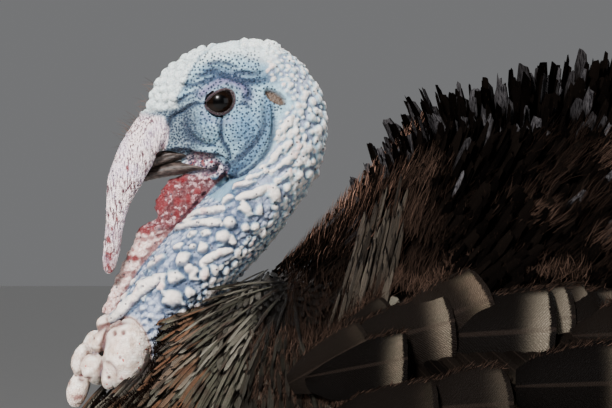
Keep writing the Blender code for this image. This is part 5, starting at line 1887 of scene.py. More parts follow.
def ruff(side_map, material):
    """Long narrow feathers that fan down and forward from behind the neck over the breast's side."""
    for side, sign in SIDES:
        rng = np.random.default_rng(50)
        roots, tips, widths, lifts, shine, bright = [], [], [], [], [], []
        for ring in range(RUFF_RINGS):
            reach = 3 + ring * RUFF_STEP
            count = max(6, int(reach * math.radians(RUFF_FAN) / RUFF_GAP))
            for k in range(count):
                place = k + 0.5 * (ring % 2) + rng.uniform(-0.25, 0.25)
                way = math.radians(RUFF_START + RUFF_FAN * place / count)
                root = APEX + heading(way) * (reach + rng.uniform(-3, 3))
                swing = way + rng.normal(0, 0.05) + 0.10
                by_neck = float(ramp(-root[0], 0, 12)) * float(ramp(-root[1], 96, 108))
                length = rng.uniform(22, 36) * (0.8 + 0.4 * ring / (RUFF_RINGS - 1)) * (1 - 0.5 * by_neck)
                tip = root + heading(swing) * length
                roots.append(root)
                tips.append(tip)
                widths.append(rng.uniform(2.0, 3.0) + 0.07 * ring + 1.0 * by_neck)
                lifts.append(0.0038 - 0.00015 * ring + rng.uniform(-0.0009, 0.0009))
                behind = float(ramp(tip[0] - 0.25 * (tip[1] + 120), 8, 22))
                shadow = 1 - 0.94 * behind * float(ramp(-tip[1], 98, 106))
                olive = float(ramp(-tip[1], 112, 140)) * float(ramp(tip[0], -22, -8))
                left = float(ramp(-tip[0], 10, 20))
                low = float(ramp(-tip[1], 118, 134))
                shine.append((rng.uniform(0.25, 0.95) + 0.35 * olive + 0.6 * left + 0.5 * low) * shadow)
                coppery = float(ramp(-tip[0], 12, 22)) * float(ramp(-tip[1], 104, 114))
                bright.append(rng.uniform(0.2, 1.0) * float(rng.random() < 0.6 * coppery))
        parts = (np.array(part) for part in (roots, tips, widths, lifts, shine, bright))
        roots, tips, widths, lifts, shine, bright = parts
        keep = side_map.inside(tips)
        for share in (0.4, 0.6, 0.8, 1.0):
            along = roots + (tips - roots) * share + TO_BARE_SKIN
            keep &= behind_border(at(np.insert(along, 1, 0, axis=1)))
        count = int(keep.sum())
        piece = laid(f"feathers_ruff_{side}", side_map, sign, roots[keep], tips[keep], lifts[keep] - 0.006,
                     lifts[keep], widths[keep] * MM, STRIP_TIP,
                     kinds(count, bronze=shine[keep], bright=bright[keep]), 10, 5,
                     roll=rng.uniform(-0.25, 0.25, count), camber=0.25, fray=0.06,
                     bend=rng.uniform(-0.07, -0.02, count), seed=51)
        finish_piece(piece, material, "body_feather")


STRIP_TIERS, STRIP_COLUMNS = 5, 12
TIER_STEP = 13  # mm


def side_strips(side_map, material):
    """Long grey-brown feathers that stand up behind the neck's base, between breast and mantle."""
    for side, sign in SIDES:
        rng = np.random.default_rng(44)
        roots, tips, widths, lifts = [], [], [], []
        for tier in range(STRIP_TIERS):
            for column in range(STRIP_COLUMNS):
                share = (column + 0.5 * (tier % 2) + rng.uniform(-0.3, 0.3)) / STRIP_COLUMNS
                up = tier * TIER_STEP + rng.uniform(-6, 6) - 6
                lean = math.radians(73 + 6 * share)
                foot = np.array([53 + 30 * share, -124 + 6 * share])
                root = foot + heading(lean) * up
                length = rng.uniform(34, 52) * (1 - 0.08 * tier)
                roots.append(root)
                tips.append(root + heading(lean) * length)
                widths.append(rng.uniform(2.2, 3.6))
                above = 0.0018 * (STRIP_TIERS - tier) / STRIP_TIERS
                lifts.append(0.0012 + above + rng.uniform(0, 0.0018))
        roots, tips, widths, lifts = (np.array(part) for part in (roots, tips, widths, lifts))
        keep = side_map.inside(tips)
        roots, tips, widths, lifts = roots[keep], tips[keep], widths[keep], lifts[keep]
        count = len(roots)
        piece = laid(f"feathers_nape_{side}", side_map, sign, roots, tips, lifts - 0.009, lifts,
                     widths * MM, STRIP_TIP,
                     kinds(count, bronze=rng.uniform(0.15, 1.0, count), grey=0.88), 14, 5,
                     roll=rng.uniform(-0.6, 0.5, count),
                     camber=0.25, fray=0.03, bend=rng.uniform(-0.02, 0.04, count), seed=45)
        finish_piece(piece, material, "body_feather")


STREAK_LINES = [  # where the mantle's loose barbs are brown
    [(122, -86), (136, -72), (156, -58), (178, -42), (206, -26)], [(196, -72), (212, -54)],
    [(84, -92), (92, -60), (98, -38)],
]
FUZZY_EDGES = [
    (62, -118), (70, -108), (80, -98), (88, -92), (100, -95), (112, -88), (124, -82), (140, -92),
    (160, -88), (180, -88),
]


BORDER_BARBS = 1300
STREAK_CLUMPS, CLUMP_BARBS = 140, 36
FRONT_CLUMPS = 20  # of the clumps, those on the front slope
EDGE_FUZZ, BREAST_FUZZ, GAP_FUZZ = 1500, 2200, 1100


def border_down(side, sign, neck_map, material, rng):
    """Short black down along the bare skin's edge; low on the neck it points down and back."""
    border = smooth_rows([(x, z) for z, x in BORDER[1:-2]], 8)
    count = BORDER_BARBS
    near = border[rng.integers(0, len(border), count)] + rng.normal(0, 1.3, (count, 2))
    near = near + np.where(near[:, 1:] < -111, (3.4, -1.6), (1.4, -1.2))
    flow = np.degrees(np.arctan2(near[:, 1] + 84, near[:, 0] - 30))
    flow = np.where(near[:, 1] < -109, -62, flow) + rng.normal(0, 36, count)
    length, width = rng.uniform(3, 7.5, count), rng.uniform(0.25, 0.5, count)
    kind = kinds(count, rust=0.10 * rng.random(count))
    piece = hairs_on_side(f"down_border_{side}", neck_map, sign, near, flow, length, width, kind, 47, 0.003)
    finish_piece(piece, material, "body_feather")


def streaks(side, sign, side_map, material, rng):
    """Clumps of long barbs over the mantle's side, brown along the streaks and black between them."""
    clumps, each, front = STREAK_CLUMPS, CLUMP_BARBS, FRONT_CLUMPS
    centre = np.stack([rng.uniform(95, 330, clumps), rng.uniform(-98, -22, clumps)], 1)
    centre[:front] = np.stack([rng.uniform(40, 96, front), rng.uniform(-84, -8, front)], 1)
    lean = np.repeat(rng.uniform(32, 58, clumps) + 22 * (centre[:, 0] < 120), each)
    count = clumps * each
    start = np.repeat(centre, each, axis=0) + rng.normal(0, 1, (count, 2)) * (4.4, 2.8)
    near_line = [line_distance(*centre.T, line)[0] for line in STREAK_LINES]
    lit = 0.12 + 0.2 * ramp(centre[:, 0], 205, 230)
    lit = lit + sum(np.exp(-((away / 9) ** 2)) for away in near_line)
    brown = np.repeat(np.clip(lit, 0, 1) * rng.uniform(0.3, 0.9, clumps), each)
    brown = brown * rng.uniform(0.4, 1, count)
    lean = lean + rng.normal(0, 7, count)
    length, width = rng.uniform(8, 20, count), rng.uniform(0.15, 0.36, count)
    piece = hairs_on_side(f"streaks_{side}", side_map, sign, start, lean, length, width,
                          kinds(count, rust=brown), 48, 0.003)
    finish_piece(piece, material, "body_feather")


def fuzz(side, sign, side_map, material, rng):
    """Fuzz over the scapulars' upper edge, the breast's side and the gap before the wing."""
    edge = smooth_rows(FUZZY_EDGES, 10)
    start = edge[rng.integers(0, len(edge), EDGE_FUZZ)] + rng.normal(0, 1.8, (EDGE_FUZZ, 2))
    low = np.stack([rng.uniform(16, 70, BREAST_FUZZ), rng.uniform(-158, -118, BREAST_FUZZ)], 1)
    gap = np.stack([rng.uniform(34, 80, GAP_FUZZ), rng.uniform(-124, -88, GAP_FUZZ)], 1)
    start = np.vstack([start, low, gap])
    count = len(start)
    in_gap = np.arange(count) >= EDGE_FUZZ + BREAST_FUZZ
    brown = np.where(~in_gap, rng.uniform(0.0, 0.6, count), rng.uniform(0.0, 0.22, count))
    lean, length = rng.normal(76, 20, count), rng.uniform(4, 11, count)
    piece = hairs_on_side(f"fuzz_{side}", side_map, sign, start, lean, length,
                          rng.uniform(0.15, 0.34, count), kinds(count, rust=brown), 49, 0.001)
    finish_piece(piece, material, "body_feather")


def loose_barbs(side_map, neck_map, material):
    """The black down, the streaks and the fuzz; both sides draw the same random numbers."""
    for side, sign in SIDES:
        rng = np.random.default_rng(46)
        border_down(side, sign, neck_map, material, rng)
        streaks(side, sign, side_map, material, rng)
        fuzz(side, sign, side_map, material, rng)


# ---------------------------------------------------------------- tail

TAIL_ROOT = (475, -153)  # the middle of the fan, in side view
TAIL_LEAN = math.radians(11)
TAIL_HALF_SPREAD = math.radians(97)
TAIL_R = 0.3845
TAIL_CUP = 0.045
RECTRIX = ((0, 0.16), (0.5, 0.60), (0.85, 0.96), (0.94, 1.0), (0.975, 0.92), (0.99, 0.76), (1.0, 0.5))


def tail_vanes(name, shares, inner_r, outer_r, front_root, front_tip, width, half_spread, kind, rows,
               columns, roll, seed, **shape):
    """Feathers of the fan, at shares from -1 to 1 of its spread. front is metres before its plane."""
    lean = np.array([math.sin(TAIL_LEAN), 0, math.cos(TAIL_LEAN)])
    back = np.array([math.cos(TAIL_LEAN), 0, -math.sin(TAIL_LEAN)])
    root = at((TAIL_ROOT[0], 0, TAIL_ROOT[1]))
    angle = half_spread * shares
    away = np.outer(np.sin(angle), [0, 1.0, 0]) + np.outer(np.cos(angle), lean)
    u = np.linspace(0, 1, rows)
    reach = inner_r[:, None] + (outer_r - inner_r)[:, None] * u
    cup = TAIL_CUP * (reach / TAIL_R) ** 2 * (shares[:, None] * half_spread / TAIL_HALF_SPREAD) ** 2
    front = cup + front_root[:, None] * (1 - u) + front_tip[:, None] * u
    path = root + away[:, None] * reach[..., None] - back * front[..., None]
    out = np.broadcast_to(-back, path.shape)
    across = across_shafts(path, out, (np.sign(shares) * roll)[:, None, None])
    tone = np.random.default_rng(seed).random(len(shares))
    row = np.clip((0.24 - outer_r) * 6, 0.03, 0.78)
    full = np.full(len(shares), 1.0)
    patch = np.stack([0.5 + shares * 0.46, row, full * 0.03, full * 0.17], 1)
    return vanes(name, path, across, out, width, RECTRIX, tone, kind, patch, columns, seed=seed, **shape)


TAIL_FEATHERS = 18
# Rows of coverts: radius, number, metres before the fan's plane, half the spread in degrees, width.
UPPER_COVERTS = [
    (0.232, 16, 0.0145, 82, 0.052), (0.200, 15, 0.018, 80, 0.048), (0.168, 14, 0.021, 78, 0.044),
    (0.136, 13, 0.024, 76, 0.040),
]
UNDER_COVERTS = [
    (0.20, 13, -0.004, 80, 0.046), (0.160, 12, -0.007, 82, 0.042), (0.115, 11, -0.010, 84, 0.036),
]
COVERT_SPREAD = 82  # degrees from the middle at a share of 1


def covert_rows(table, inner, ragged, slope, rng, **amounts):
    """The rows of a table of coverts, joined: all that tail_vanes needs of each feather."""
    parts = []
    for radius, count, front, spread, wide in table:
        shares = (np.arange(count) + 0.5) / count * 2 - 1
        full = np.full(count, 1.0)
        outer = radius - ragged * rng.random(count)
        parts.append((shares * spread / COVERT_SPREAD, full * inner, outer, full * (front + slope),
                      full * front, full * wide, kinds(count, **amounts)))
    *places, kind = (np.concatenate(part) for part in zip(*parts))
    return *places, math.radians(COVERT_SPREAD), kind


def tail(quills, covert):
    """The fan's long feathers, and the coverts over their bases before and behind."""
    shares = (np.arange(TAIL_FEATHERS) + 0.5) / TAIL_FEATHERS * 2 - 1
    rng = np.random.default_rng(71)
    full = np.full(TAIL_FEATHERS, 1.0)
    depth = 0.0015 + 0.0012 * (1 - np.abs(shares))
    outer = TAIL_R - 0.004 * rng.random(TAIL_FEATHERS)
    piece = tail_vanes("tail_feathers", shares, full * 0.05, outer, depth + 0.002, depth, full * 0.080,
                       TAIL_HALF_SPREAD, kinds(TAIL_FEATHERS, rust=1.0), 48, 15, 0.03, 72,
                       camber=0.02, fray=0.002, notch=0.012)
    finish_piece(piece, quills, "tail_feather", "tail_fan")
    rows = covert_rows(UPPER_COVERTS, 0.045, 0.008, 0.006, rng, bronze=1.0, rust=1.0)
    piece = tail_vanes("tail_upper_coverts", *rows, 22, 9, 0.05, 73, camber=0.06, fray=0.006)
    finish_piece(piece, covert, "tail_covert", "tail_coverts")
    rows = covert_rows(UNDER_COVERTS, 0.03, 0.01, -0.006, rng, bronze=0.5, rust=0.8)
    piece = tail_vanes("tail_under_coverts", *rows, 20, 7, -0.05, 74, camber=-0.06, fray=0.01)
    finish_piece(piece, covert, "tail_covert")


def quill_material(name, banded):
    """Flight feathers: barred in the wing; in the tail mottled, with a black band and a rufous tip."""
    paint = Paint(name)
    u, v, _, _ = paint.attribute("vane")
    bright = paint.attribute("kind")[2]
    side = paint.math("ABSOLUTE", paint.math("SUBTRACT", v, 0.5))
    plain = paint.vector()
    cloud = paint.noise(plain, 22.0, 3.0)
    fine = paint.noise(plain, 1.6, 4.0, 0.6)
    wave = paint.plus(u, paint.off_middle(cloud, 0.05))
    wave = paint.plus(wave, paint.times(side, 0.03))
    if banded:
        ripple = paint.math("SINE", paint.times(wave, 260.0))
        ripple = paint.plus(ripple, paint.off_middle(fine, 3.0))
        colour = paint.mix(paint.between(ripple, -0.4, 0.6), (0.030, 0.018, 0.012), (0.20, 0.085, 0.035))
        broad = paint.math("SINE", paint.times(wave, 74.0))
        colour = paint.mix(paint.between(broad, 0.35, 0.9, 0.0, 0.75), colour, (0.022, 0.013, 0.010))
        edge = paint.plus(u, paint.times(paint.times(side, side), -0.10))
        edge = paint.plus(edge, paint.off_middle(fine, 0.012))
        colour = paint.mix(paint.between(edge, 0.795, 0.815), colour, (0.010, 0.008, 0.008))
        tip = paint.mix(fine, (0.28, 0.095, 0.030), (0.42, 0.18, 0.075))
        colour = paint.mix(paint.between(edge, 0.925, 0.94), colour, tip)
    else:
        bars = paint.math("SINE", paint.times(wave, 118.0))
        bars = paint.plus(bars, paint.off_middle(fine, 0.9))
        dark = paint.mix(fine, (0.030, 0.022, 0.018), (0.055, 0.042, 0.034))
        light = paint.mix(bright, (0.14, 0.108, 0.08), (0.50, 0.47, 0.42))
        colour = paint.mix(paint.between(bars, 0.0, 0.5), dark, light)
        colour = paint.mix(paint.between(u, 0.93, 0.99), colour, dark)
    shaft = paint.between(side, 0.022, 0.012)
    colour = paint.mix(shaft, colour, (0.14, 0.085, 0.05))
    barb = paint.plus(paint.times(u, 170.0), paint.times(side, -60.0))
    barb = paint.math("SINE", paint.times(barb, 6.283))
    relief = paint.plus(paint.times(barb, 0.5), paint.times(shaft, 3.0))
    normal = paint.bump(relief, 0.00015)
    return paint.finish(colour, paint.between(fine, 0.2, 0.8, 0.50, 0.66), normal, Specular_IOR_Level=0.12)


# ---------------------------------------------------------------- legs, beard and eyes


KNEE = (-0.0285, 0.0706, 0.262)  # metres, on the right
HOCK_OUT, HOCK_UP = 0.072, 0.168  # metres from the middle plane and above the floor
ANKLE = (-0.0085, 0.07416, 0.020)  # metres, on the right
THIGH = [(0.0, 0.056), (0.35, 0.050), (0.7, 0.031), (1.0, 0.0165)]  # shares down it, and radii in metres
THIGH_FEATHER = (0.024, 0.014)  # length and width in metres
THIGH_ROW = 0.0075  # metres between the rings of feathers


def thigh_feathers(side, start, end, material):
    """Rings of feathers down a thigh, from the knee at start to the hock at end."""
    rng = np.random.default_rng(91)
    length, width = THIGH_FEATHER
    axis = end - start
    reach = np.linalg.norm(axis)
    axis = axis / reach
    first = np.cross(axis, [0, 1.0, 0])
    first /= np.linalg.norm(first)
    second = np.cross(axis, first)
    shares, radius = zip(*THIGH)
    roots, tips, outs, patches = [], [], [], []
    for number, share in enumerate(np.arange(0.0, 0.93, THIGH_ROW / reach)):
        r = np.interp(share, shares, radius)
        count = max(7, int(TURN * r / (width * 0.55)))
        turn = (np.arange(count) + 0.5 * (number % 2) + rng.uniform(-0.2, 0.2, count)) * TURN / count
        out = np.outer(np.cos(turn), first) + np.outer(np.sin(turn), second)
        tip_share = np.minimum(share + length / reach * rng.uniform(0.85, 1.1, count), 1.06)
        tip_r = np.interp(tip_share, shares, radius)
        roots.append(start + axis * reach * share + out * max(r - 0.009, 0.004))
        tips.append(start + axis * reach * tip_share[:, None] + out * tip_r[:, None])
        outs.append(out)
        patches.append(np.stack([turn / 6.283 * 0.2 + 0.1, np.full(count, share * 0.2)], 1))
    root, tip, out, place = (np.concatenate(part) for part in (roots, tips, outs, patches))
    middle = (root + tip) / 2 + out * 0.004
    across = unit(np.cross(unit(tip - root), out))
    patch = np.hstack([place, np.full((len(root), 2), PATCH)])
    kind = kinds(len(root), bronze=0.25, grey=0.4)
    width = width * rng.uniform(0.85, 1.15, len(root))
    piece = vanes(f"feathers_thigh_{side}", bezier(root, middle, tip, 6), across, out, width, ROUND_TIP,
                  rng.random(len(root)), kind, patch, 5, seed=91)
    finish_piece(piece, material, "body_feather", f"thigh_{side}")


SHANKS = [(0.00, 12.0), (0.08, 12.0), (0.20, 8.3), (0.50, 7.0), (0.80, 7.6), (0.92, 9.4), (1.00, 9.8)]
TOES = [("inner", -34, 56), ("middle", 4, 78), ("outer", 40, 60), ("hind", 168, 30)]
TOE_R = 7.8
SCUTE = 4.4  # length of a plate down the front of the shank and along the toes, in mm
SCALE = 0.0026  # metres across one of the small round scales
PLATE_HEIGHT, SCALE_HEIGHT = 0.55, 0.42  # mm


def scaly_legs(material, horn):
    """Shank and foot of each leg in one scaled skin, with claws and a spur of horn."""
    for side, sign in SIDES:
        shank_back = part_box(f"shank_{side}")[1][0]
        hock = np.array([shank_back - 0.0118, sign * HOCK_OUT, HOCK_UP])
        ankle = np.array(ANKLE) * (1, sign, 1)
        shells = Shells()
        shank = [(*(hock + (ankle - hock) * share), radius * MM) for share, radius in SHANKS]
        path = smooth_rows([(hock[0] + 0.002, hock[1], hock[2] + 0.006, 0.0115), *shank], 6)
        shells.loft(tube_rings(path, 24))
        centre = ankle - np.array([0, 0, 0.008])
        shells.ball((centre - EYES) / MM, (14.2, 12.2, 13.2))
        for name, degrees, length in TOES:
            angle = math.radians(degrees)
            way = np.array([-math.cos(angle), sign * math.sin(angle)])
            radius = TOE_R * (0.82 if name == "hind" else 1.0)
            toe = []
            for share in np.linspace(0, 1, 13):
                swell = radius * (1.0 - 0.28 * share + 0.09 * math.sin(share * 6 * math.pi - 0.6)) - 0.25
                x, y = ankle[:2] + way * length * MM * share
                toe.append((x, y, swell * 0.80 * MM + 0.0062 * (1 - share) ** 2, swell * MM))
            tip = ankle[:2] + way * (length + 1.5) * MM
            toe.append((*tip, toe[-1][2] - 0.0004, toe[-1][3] * 0.55))
            shells.loft(tube_rings(toe, 20))
            claw(side, name, ankle, way, length, radius, horn)
        foot = shells.fuse(f"leg_{side}", LEG_VOXEL, 2)
        scales(foot.data, hock, ankle)
        foot.data.materials.append(material)
        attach(foot, "root")
        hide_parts(f"shank_{side}", f"foot_{side}")
        spur(side, sign, hock, ankle, horn)


def scales(mesh, hock, ankle):
    """Plates down the front of the shank and over the toes, small round scales elsewhere."""
    points, normals = points_of(mesh), normals_of(mesh)
    up = normals[:, 2]
    on_shank = ramp(points[:, 2], 0.030, 0.036)
    axis = (hock - ankle) / np.linalg.norm(hock - ankle)
    along = (points - ankle) @ axis / MM
    front = np.clip(-normals[:, 0], -1, 1)
    flat = points[:, :2] - ankle[:2]
    reach = np.linalg.norm(flat, axis=1) / MM
    plates_at = np.where(on_shank > 0.5, along, reach)
    facing = np.where(on_shank > 0.5, ramp(front, 0.15, 0.5), ramp(up, 0.15, 0.55) * ramp(reach, 10, 15))
    bow = np.where(on_shank > 0.5, (points[:, 1] - ankle[1]) / MM, 0)
    phase = (plates_at + 0.05 * bow**2) / SCUTE
    saw = phase - np.floor(phase)
    plate = PLATE_HEIGHT * (1 - ramp(np.abs(saw - 0.5) * 2, 0.72, 1.0))
    small = np.sqrt(np.clip(cell_height(points / SCALE, 17), 0, 1)) * SCALE_HEIGHT
    height = (facing * plate + (1 - facing) * small) * MM
    points = points + normals * (height - 0.00035)[:, None]
    points[:, 2] = np.maximum(points[:, 2], 0.0)
    set_points(mesh, points)
    groove = 1 - np.where(facing > 0.5, plate / PLATE_HEIGHT, small / SCALE_HEIGHT)
    chance = lattice(np.floor(np.stack([phase, phase * 0, phase * 0], 1)), 5)
    store(mesh, "scale", np.stack([groove, facing, on_shank, chance], 1))


def cell_height(cell, seed):
    """1 in the middle of each cell of a jittered lattice, 0 at the borders between cells."""
    base = np.floor(cell)
    first = np.full(len(cell), 9.0)
    second = np.full(len(cell), 9.0)
    for offset in np.ndindex(3, 3, 3):
        corner = base + np.array(offset) - 1
        jitter = np.stack([lattice(corner, seed + k) for k in range(3)], 1)
        away = np.linalg.norm(cell - corner - 0.2 - 0.6 * jitter, axis=1)
        second = np.where(away < first, first, np.minimum(second, away))
        first = np.minimum(first, away)
    return np.clip((second - first) * 1.6, 0, 1)


CLAW_REACH = 0.0172  # metres


def claw(side, name, ankle, way, length, radius, horn):
    """A claw of horn that curves down to the floor from its toe's end."""
    tip_radius = radius * (0.72 + 0.09 * math.sin(6 * math.pi - 0.6)) * 0.74
    start = ankle[:2] + way * (length - 2.5) * MM
    height = radius * (0.72 - 0.05) * 0.80 * MM
    path = []
    for share in np.linspace(0, 1, 14):
        drop = (height - 0.0010) * share**1.8
        radius_here = tip_radius * (1 - 0.9 * share) * math.sqrt(min(1.0, 0.4 + share * 4)) * MM
        x, y = start + way * CLAW_REACH * share
        path.append((x, y, max(height - drop, radius_here), radius_here))
    piece = mesh_object(f"claw_{side}_{name}_horn", *loft_parts(tube_rings(path, 16)))
    finish_piece(piece, horn, "claw", f"claw_{side}_{name}")


def spur(side, sign, hock, ankle, horn):
    """The spur that curves back, inwards and up from the shank."""
    start = hock + (ankle - hock) * 0.66
    table = [(0.002, 0.0, 0.0, 5.2), (0.008, 0.0022, 0.0, 4.7), (0.014, 0.004, 0.001, 3.9),
             (0.020, 0.0056, 0.0028, 3.0), (0.026, 0.0074, 0.0066, 1.9), (0.031, 0.009, 0.012, 0.5)]
    path = smooth_rows([(*(start + np.array([x, -sign * y, z])), r * MM) for x, y, z, r in table], 5)
    piece = mesh_object(f"spur_{side}_horn", *loft_parts(tube_rings(path, 20)))
    finish_piece(piece, horn, "claw", f"spur_{side}")


def leg_material():
    """Dull pink scaly skin: some plates browner than others, dark grooves between them."""
    paint = Paint("scaly_skin")
    groove, plate, _, chance = paint.attribute("scale")
    plain = paint.vector()
    soft = paint.noise(plain, 9.0, 3.0)
    fine = paint.noise(plain, 0.9, 3.0)
    colour = paint.mix(soft, (0.33, 0.13, 0.105), (0.50, 0.25, 0.21))
    colour = paint.mix(paint.times(chance, paint.times(plate, 0.6)), colour, (0.28, 0.12, 0.10))
    dull = paint.between(paint.noise(plain, 24.0, 1.0), 0.45, 0.65, 0.0, 0.5)
    colour = paint.mix(dull, colour, (0.25, 0.19, 0.17))
    colour = paint.mix(paint.between(groove, 0.45, 1.0, 0.0, 0.85), colour, (0.10, 0.045, 0.035))
    return paint.finish(colour, paint.between(fine, 0.2, 0.8, 0.34, 0.52), paint.bump(fine, 0.00015))


def horn_material(name, dark, light):
    """Horn between two browns, in fine streaks."""
    paint = Paint(name)
    plain = paint.vector()
    streak = paint.noise(paint.vector((0.25, 1.4, 1.4)), 1.6, 4.0, 0.6)
    soft = paint.noise(plain, 6.0, 2.0)
    colour = paint.mix(paint.between(streak, 0.3, 0.7), dark, light)
    colour = paint.mix(paint.times(soft, 0.4), colour, dark)
    return paint.finish(colour, paint.between(streak, 0.2, 0.8, 0.26, 0.42), paint.bump(streak, 0.00018))


BEARD_BRISTLES = 260


def beard_bristles(material):
    """Coarse bristles that hang from the chest, thickest in the middle of their length."""
    low, high = (np.array(corner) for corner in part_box("beard"))
    rng = np.random.default_rng(81)
    count = BEARD_BRISTLES
    turn, ring = rng.uniform(0, TURN, count), np.sqrt(rng.uniform(0, 1, count))
    spread_x, spread_y = np.cos(turn) * ring, np.sin(turn) * ring
    middle_x = (low[0] + high[0]) / 2
    root = np.stack([high[0] + 0.002 + spread_x * 0.004, spread_y * 0.005, high[2] - 0.002 + 0 * ring], 1)
    end = low[2] + 0.0005 + rng.uniform(0, 1, count) ** 2 * 0.05 + ring * 0.006
    tip = np.stack([middle_x + 0.004 + spread_x * 0.0075, spread_y * 0.0085, end], 1)
    bend_z = root[:, 2] * 0.6 + tip[:, 2] * 0.4
    bend = np.stack([low[0] + 0.0095 + spread_x * 0.008, spread_y * 0.0105, bend_z], 1)
    path = bezier(root, bend, tip, 14)
    along = unit(tip - root)
    face = np.stack([np.cos(turn), np.sin(turn), 0 * turn], 1)
    across = unit(np.cross(along, face))
    size = np.full(count, 0.001)
    patch = np.stack([turn / 6.283 * 0.9 + 0.05, ring * 0.02, size, size], 1)
    width = rng.uniform(0.0010, 0.0017, count)
    piece = vanes("beard_bristles", path, across, face, width, HAIR, rng.random(count), kinds(count), patch,
                  4, camber=0.5, fray=0.0, seed=82)
    finish_piece(piece, material, "beard", "beard")


def eyeballs(material):
    """Round eyes; each point keeps its distance from the line of sight, for the pupil and iris."""
    for side, sign in SIDES:
        centre = box_middle(f"eye_{side}")
        rings = []
        turn = np.arange(48) * TURN / 48
        radius = EYE_R * MM * (1 - 0.004)
        for angle in np.linspace(0.02, math.pi - 0.02, 41):
            out = math.cos(angle) * radius
            ring = np.stack([np.cos(turn) * math.sin(angle) * radius, np.full(48, sign * out),
                             np.sin(turn) * math.sin(angle) * radius], 1)
            rings.append(centre + ring)
        points, quads, tris = loft_parts(rings)
        if sign > 0:
            quads, tris = quads[:, ::-1], tris[:, ::-1]
        piece = mesh_object(f"eye_{side}_ball", points, quads, tris)
        local = (points - centre) / MM
        reach = np.hypot(local[:, 0], local[:, 2])
        store(piece.data, "eye", np.outer(reach / EYE_R, [1, 0, 0, 0]))
        finish_piece(piece, material, "eye", f"eye_{side}")


def eye_material():
    paint = Paint("dark_eye")
    reach = paint.attribute("eye")[0]
    streak = paint.noise(paint.vector(), 0.7, 3.0, 0.6)
    iris = paint.mix(streak, (0.0012, 0.0007, 0.0005), (0.0055, 0.0026, 0.0014))
    colour = paint.mix(paint.between(reach, 0.40, 0.44), (0.0004, 0.0004, 0.0005), iris)
    colour = paint.mix(paint.between(reach, 0.72, 0.80), colour, (0.002, 0.0014, 0.0014))
    made = paint.finish(colour, 0.25)
    paint.shader.inputs["Specular IOR Level"].default_value = 0.05
    paint.shader.inputs["Coat Weight"].default_value = 0.13
    paint.shader.inputs["Coat Roughness"].default_value = 0.02
    paint.shader.inputs["Coat IOR"].default_value = 1.38
    return made


def leg_line(sign):
    """The knee and the hock of a leg, on the middle of its thigh."""
    knee_x, knee_y, knee_z = KNEE
    return np.array([knee_x, sign * knee_y, knee_z]), np.array([0.0335, sign * HOCK_OUT, HOCK_UP])


def body_skin():
    """The plucked body inside the feathers: trunk and upper legs, closed round the neck's base."""
    shells = Shells()
    turns = np.arange(48) / 48
    rings = []
    for down in np.linspace(0.03, 0.985, 42):
        at_row = np.full(48, down)
        depth = coat_depth(at_row, turns) + 0.001
        rings.append(surface(at_row, turns) - outward(at_row, turns) * depth[:, None])
    shells.loft(rings)
    for _, sign in SIDES:
        knee, hock = leg_line(sign)
        stations = smooth_rows([(0.0, 0.045), (0.35, 0.042), (0.7, 0.024), (1.0, 0.0115)], 4)
        path = [(*(knee + (hock - knee) * share), radius) for share, radius in stations]
        shells.loft(tube_rings(path, 24))
    body = shells.fuse("body_skin", BODY_VOXEL, 4)
    # Marks the body's skin, which is painted near black as the shade deep in the coat.
    store(body.data, "feathered", np.tile([1.0, 0, 0, 0], (len(body.data.vertices), 1)))
    return body


def joined(skin, body):
    """The head's skin and the body's as one closed mesh."""
    union = skin.modifiers.new("body", "BOOLEAN")
    union.operation = "UNION"
    union.solver = "MANIFOLD"
    union.object = body
    graph = bpy.context.evaluated_depsgraph_get()
    mesh = bpy.data.meshes.new_from_object(skin.evaluated_get(graph))
    skin.modifiers.clear()
    skin.data = mesh
    bpy.data.objects.remove(body)
    return skin


def legs_and_beard(feather):
    horn = horn_material("dark_horn", (0.018, 0.014, 0.012), (0.085, 0.062, 0.048))
    scaly_legs(leg_material(), horn)
    for side, sign in SIDES:
        thigh_feathers(side, *leg_line(sign), feather)
    beard = horn_material("beard_hair", (0.006, 0.005, 0.005), (0.030, 0.022, 0.018))
    beard_bristles(beard)


# ---------------------------------------------------------------- stage

CAMERA_AWAY = 2.6
VIEW_WIDE = 0.318  # metres across the picture at the bird's middle
AIM = (44.2, 0, -52.5)  # the picture's centre
SENSOR = 36.0


def camera():
    data = bpy.data.cameras.new("camera")
    data.sensor_width = SENSOR
    data.lens = SENSOR * CAMERA_AWAY / VIEW_WIDE
    data.clip_end = 60
    obj = linked("camera", data)
    obj.location = at(AIM) + np.array([0, -CAMERA_AWAY, 0])
    obj.rotation_euler = (math.pi / 2, 0, 0)
    bpy.context.scene.camera = obj


def area_light(name, place, aim, size, power, colour):
    data = bpy.data.lights.new(name, "AREA")
    data.size = size
    data.energy = power
    data.color = colour
    obj = linked(name, data)
    obj.location = place
    obj.rotation_euler = (Vector(aim) - Vector(place)).to_track_quat("-Z", "Y").to_euler()
    return data


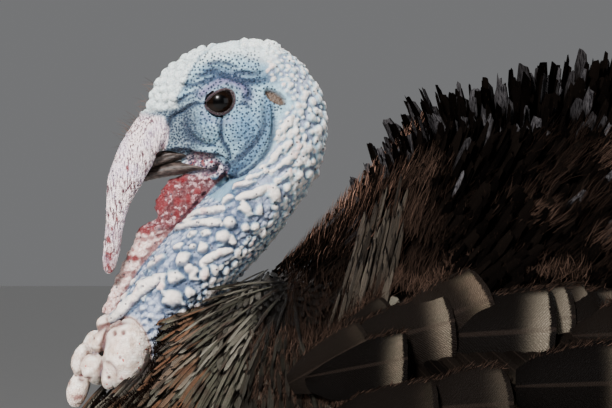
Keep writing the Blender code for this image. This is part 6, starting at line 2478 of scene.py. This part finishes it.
def studio():
    area_light("key", (-1.1, -2.1, 2.1), (-0.15, 0, 0.5), 0.55, 265, (1.0, 0.97, 0.94))
    fill = area_light("fill", (1.7, -2.2, 1.1), (0, 0, 0.5), 1.6, 34, (0.94, 0.97, 1.0))
    fill.specular_factor = 0.2
    area_light("back", (1.4, 1.9, 2.2), (0, 0, 0.5), 1.2, 90, (1.0, 0.98, 0.95))
    world = bpy.data.worlds.new("studio")
    bpy.context.scene.world = world
    world.use_nodes = True
    world.node_tree.nodes["Background"].inputs["Color"].default_value = (0.80, 0.81, 0.83, 1)
    world.node_tree.nodes["Background"].inputs["Strength"].default_value = 0.22
    paint = Paint("floor_paint")
    grain = paint.noise(paint.vector(), 60.0, 3.0)
    material = paint.finish(paint.mix(grain, (0.78, 0.77, 0.75), (0.82, 0.81, 0.79)), 0.8)
    turn = np.arange(64) * TURN / 64
    rim = np.stack([np.cos(turn) * 30, np.sin(turn) * 30, 0 * turn - 0.0005], axis=1)
    floor = mesh_object("floor", rim, np.arange(64)[None, :])
    floor.data.materials.append(material)


def main():
    camera()
    studio()
    skin = head_skin()
    neck = tree_of(skin.data)
    black = mantle_paint()
    bristles(skin, black)
    skin = joined(skin, body_skin())
    skin.data.materials.clear()
    skin.data.materials.append(skin_material())
    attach(skin, "root")
    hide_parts("head", "neck", "snood", "dewlap", "caruncle_left", "caruncle_right",
                "caruncle_front", "caruncle_ridge")
    feather = feather_material("body_feathers", (0.15, 0.50, 0.90, 0.97), (0.150, 0.145, 0.108),
                               (0.100, 0.072, 0.056), (0.30, 0.15, 0.085), (0.46, 0.43, 0.35), 0.42)
    # The coverts' pale band just before the black edge is partly their own colour and partly a painted
    # sheen.
    covert = feather_material("covert_feathers", (0.60, 0.945, 0.945, 0.965), (0.050, 0.041, 0.028),
                              (0.072, 0.053, 0.038),
                              (0.10, 0.05, 0.025), (0.100, 0.086, 0.067), 0.50, 3.0, 0.02)
    body_coat(neck, feather, black)
    arms = [f"wing_left_{part}" for part in ("arm", "primaries", "secondaries")]
    side_map = SideMap(["trunk", *arms])
    wings(side_map, quill_material("wing_quills", False), covert)
    scapulars(side_map, covert, black)
    neck_map = SideMap(["trunk", "neck"], 0.003, 2)
    ruff(neck_map, feather)
    side_strips(side_map, feather)
    loose_barbs(side_map, neck_map, black)
    tail(quill_material("tail_quills", True), covert)
    legs_and_beard(feather)
    eyeballs(eye_material())
    bill(bill_material())


main()
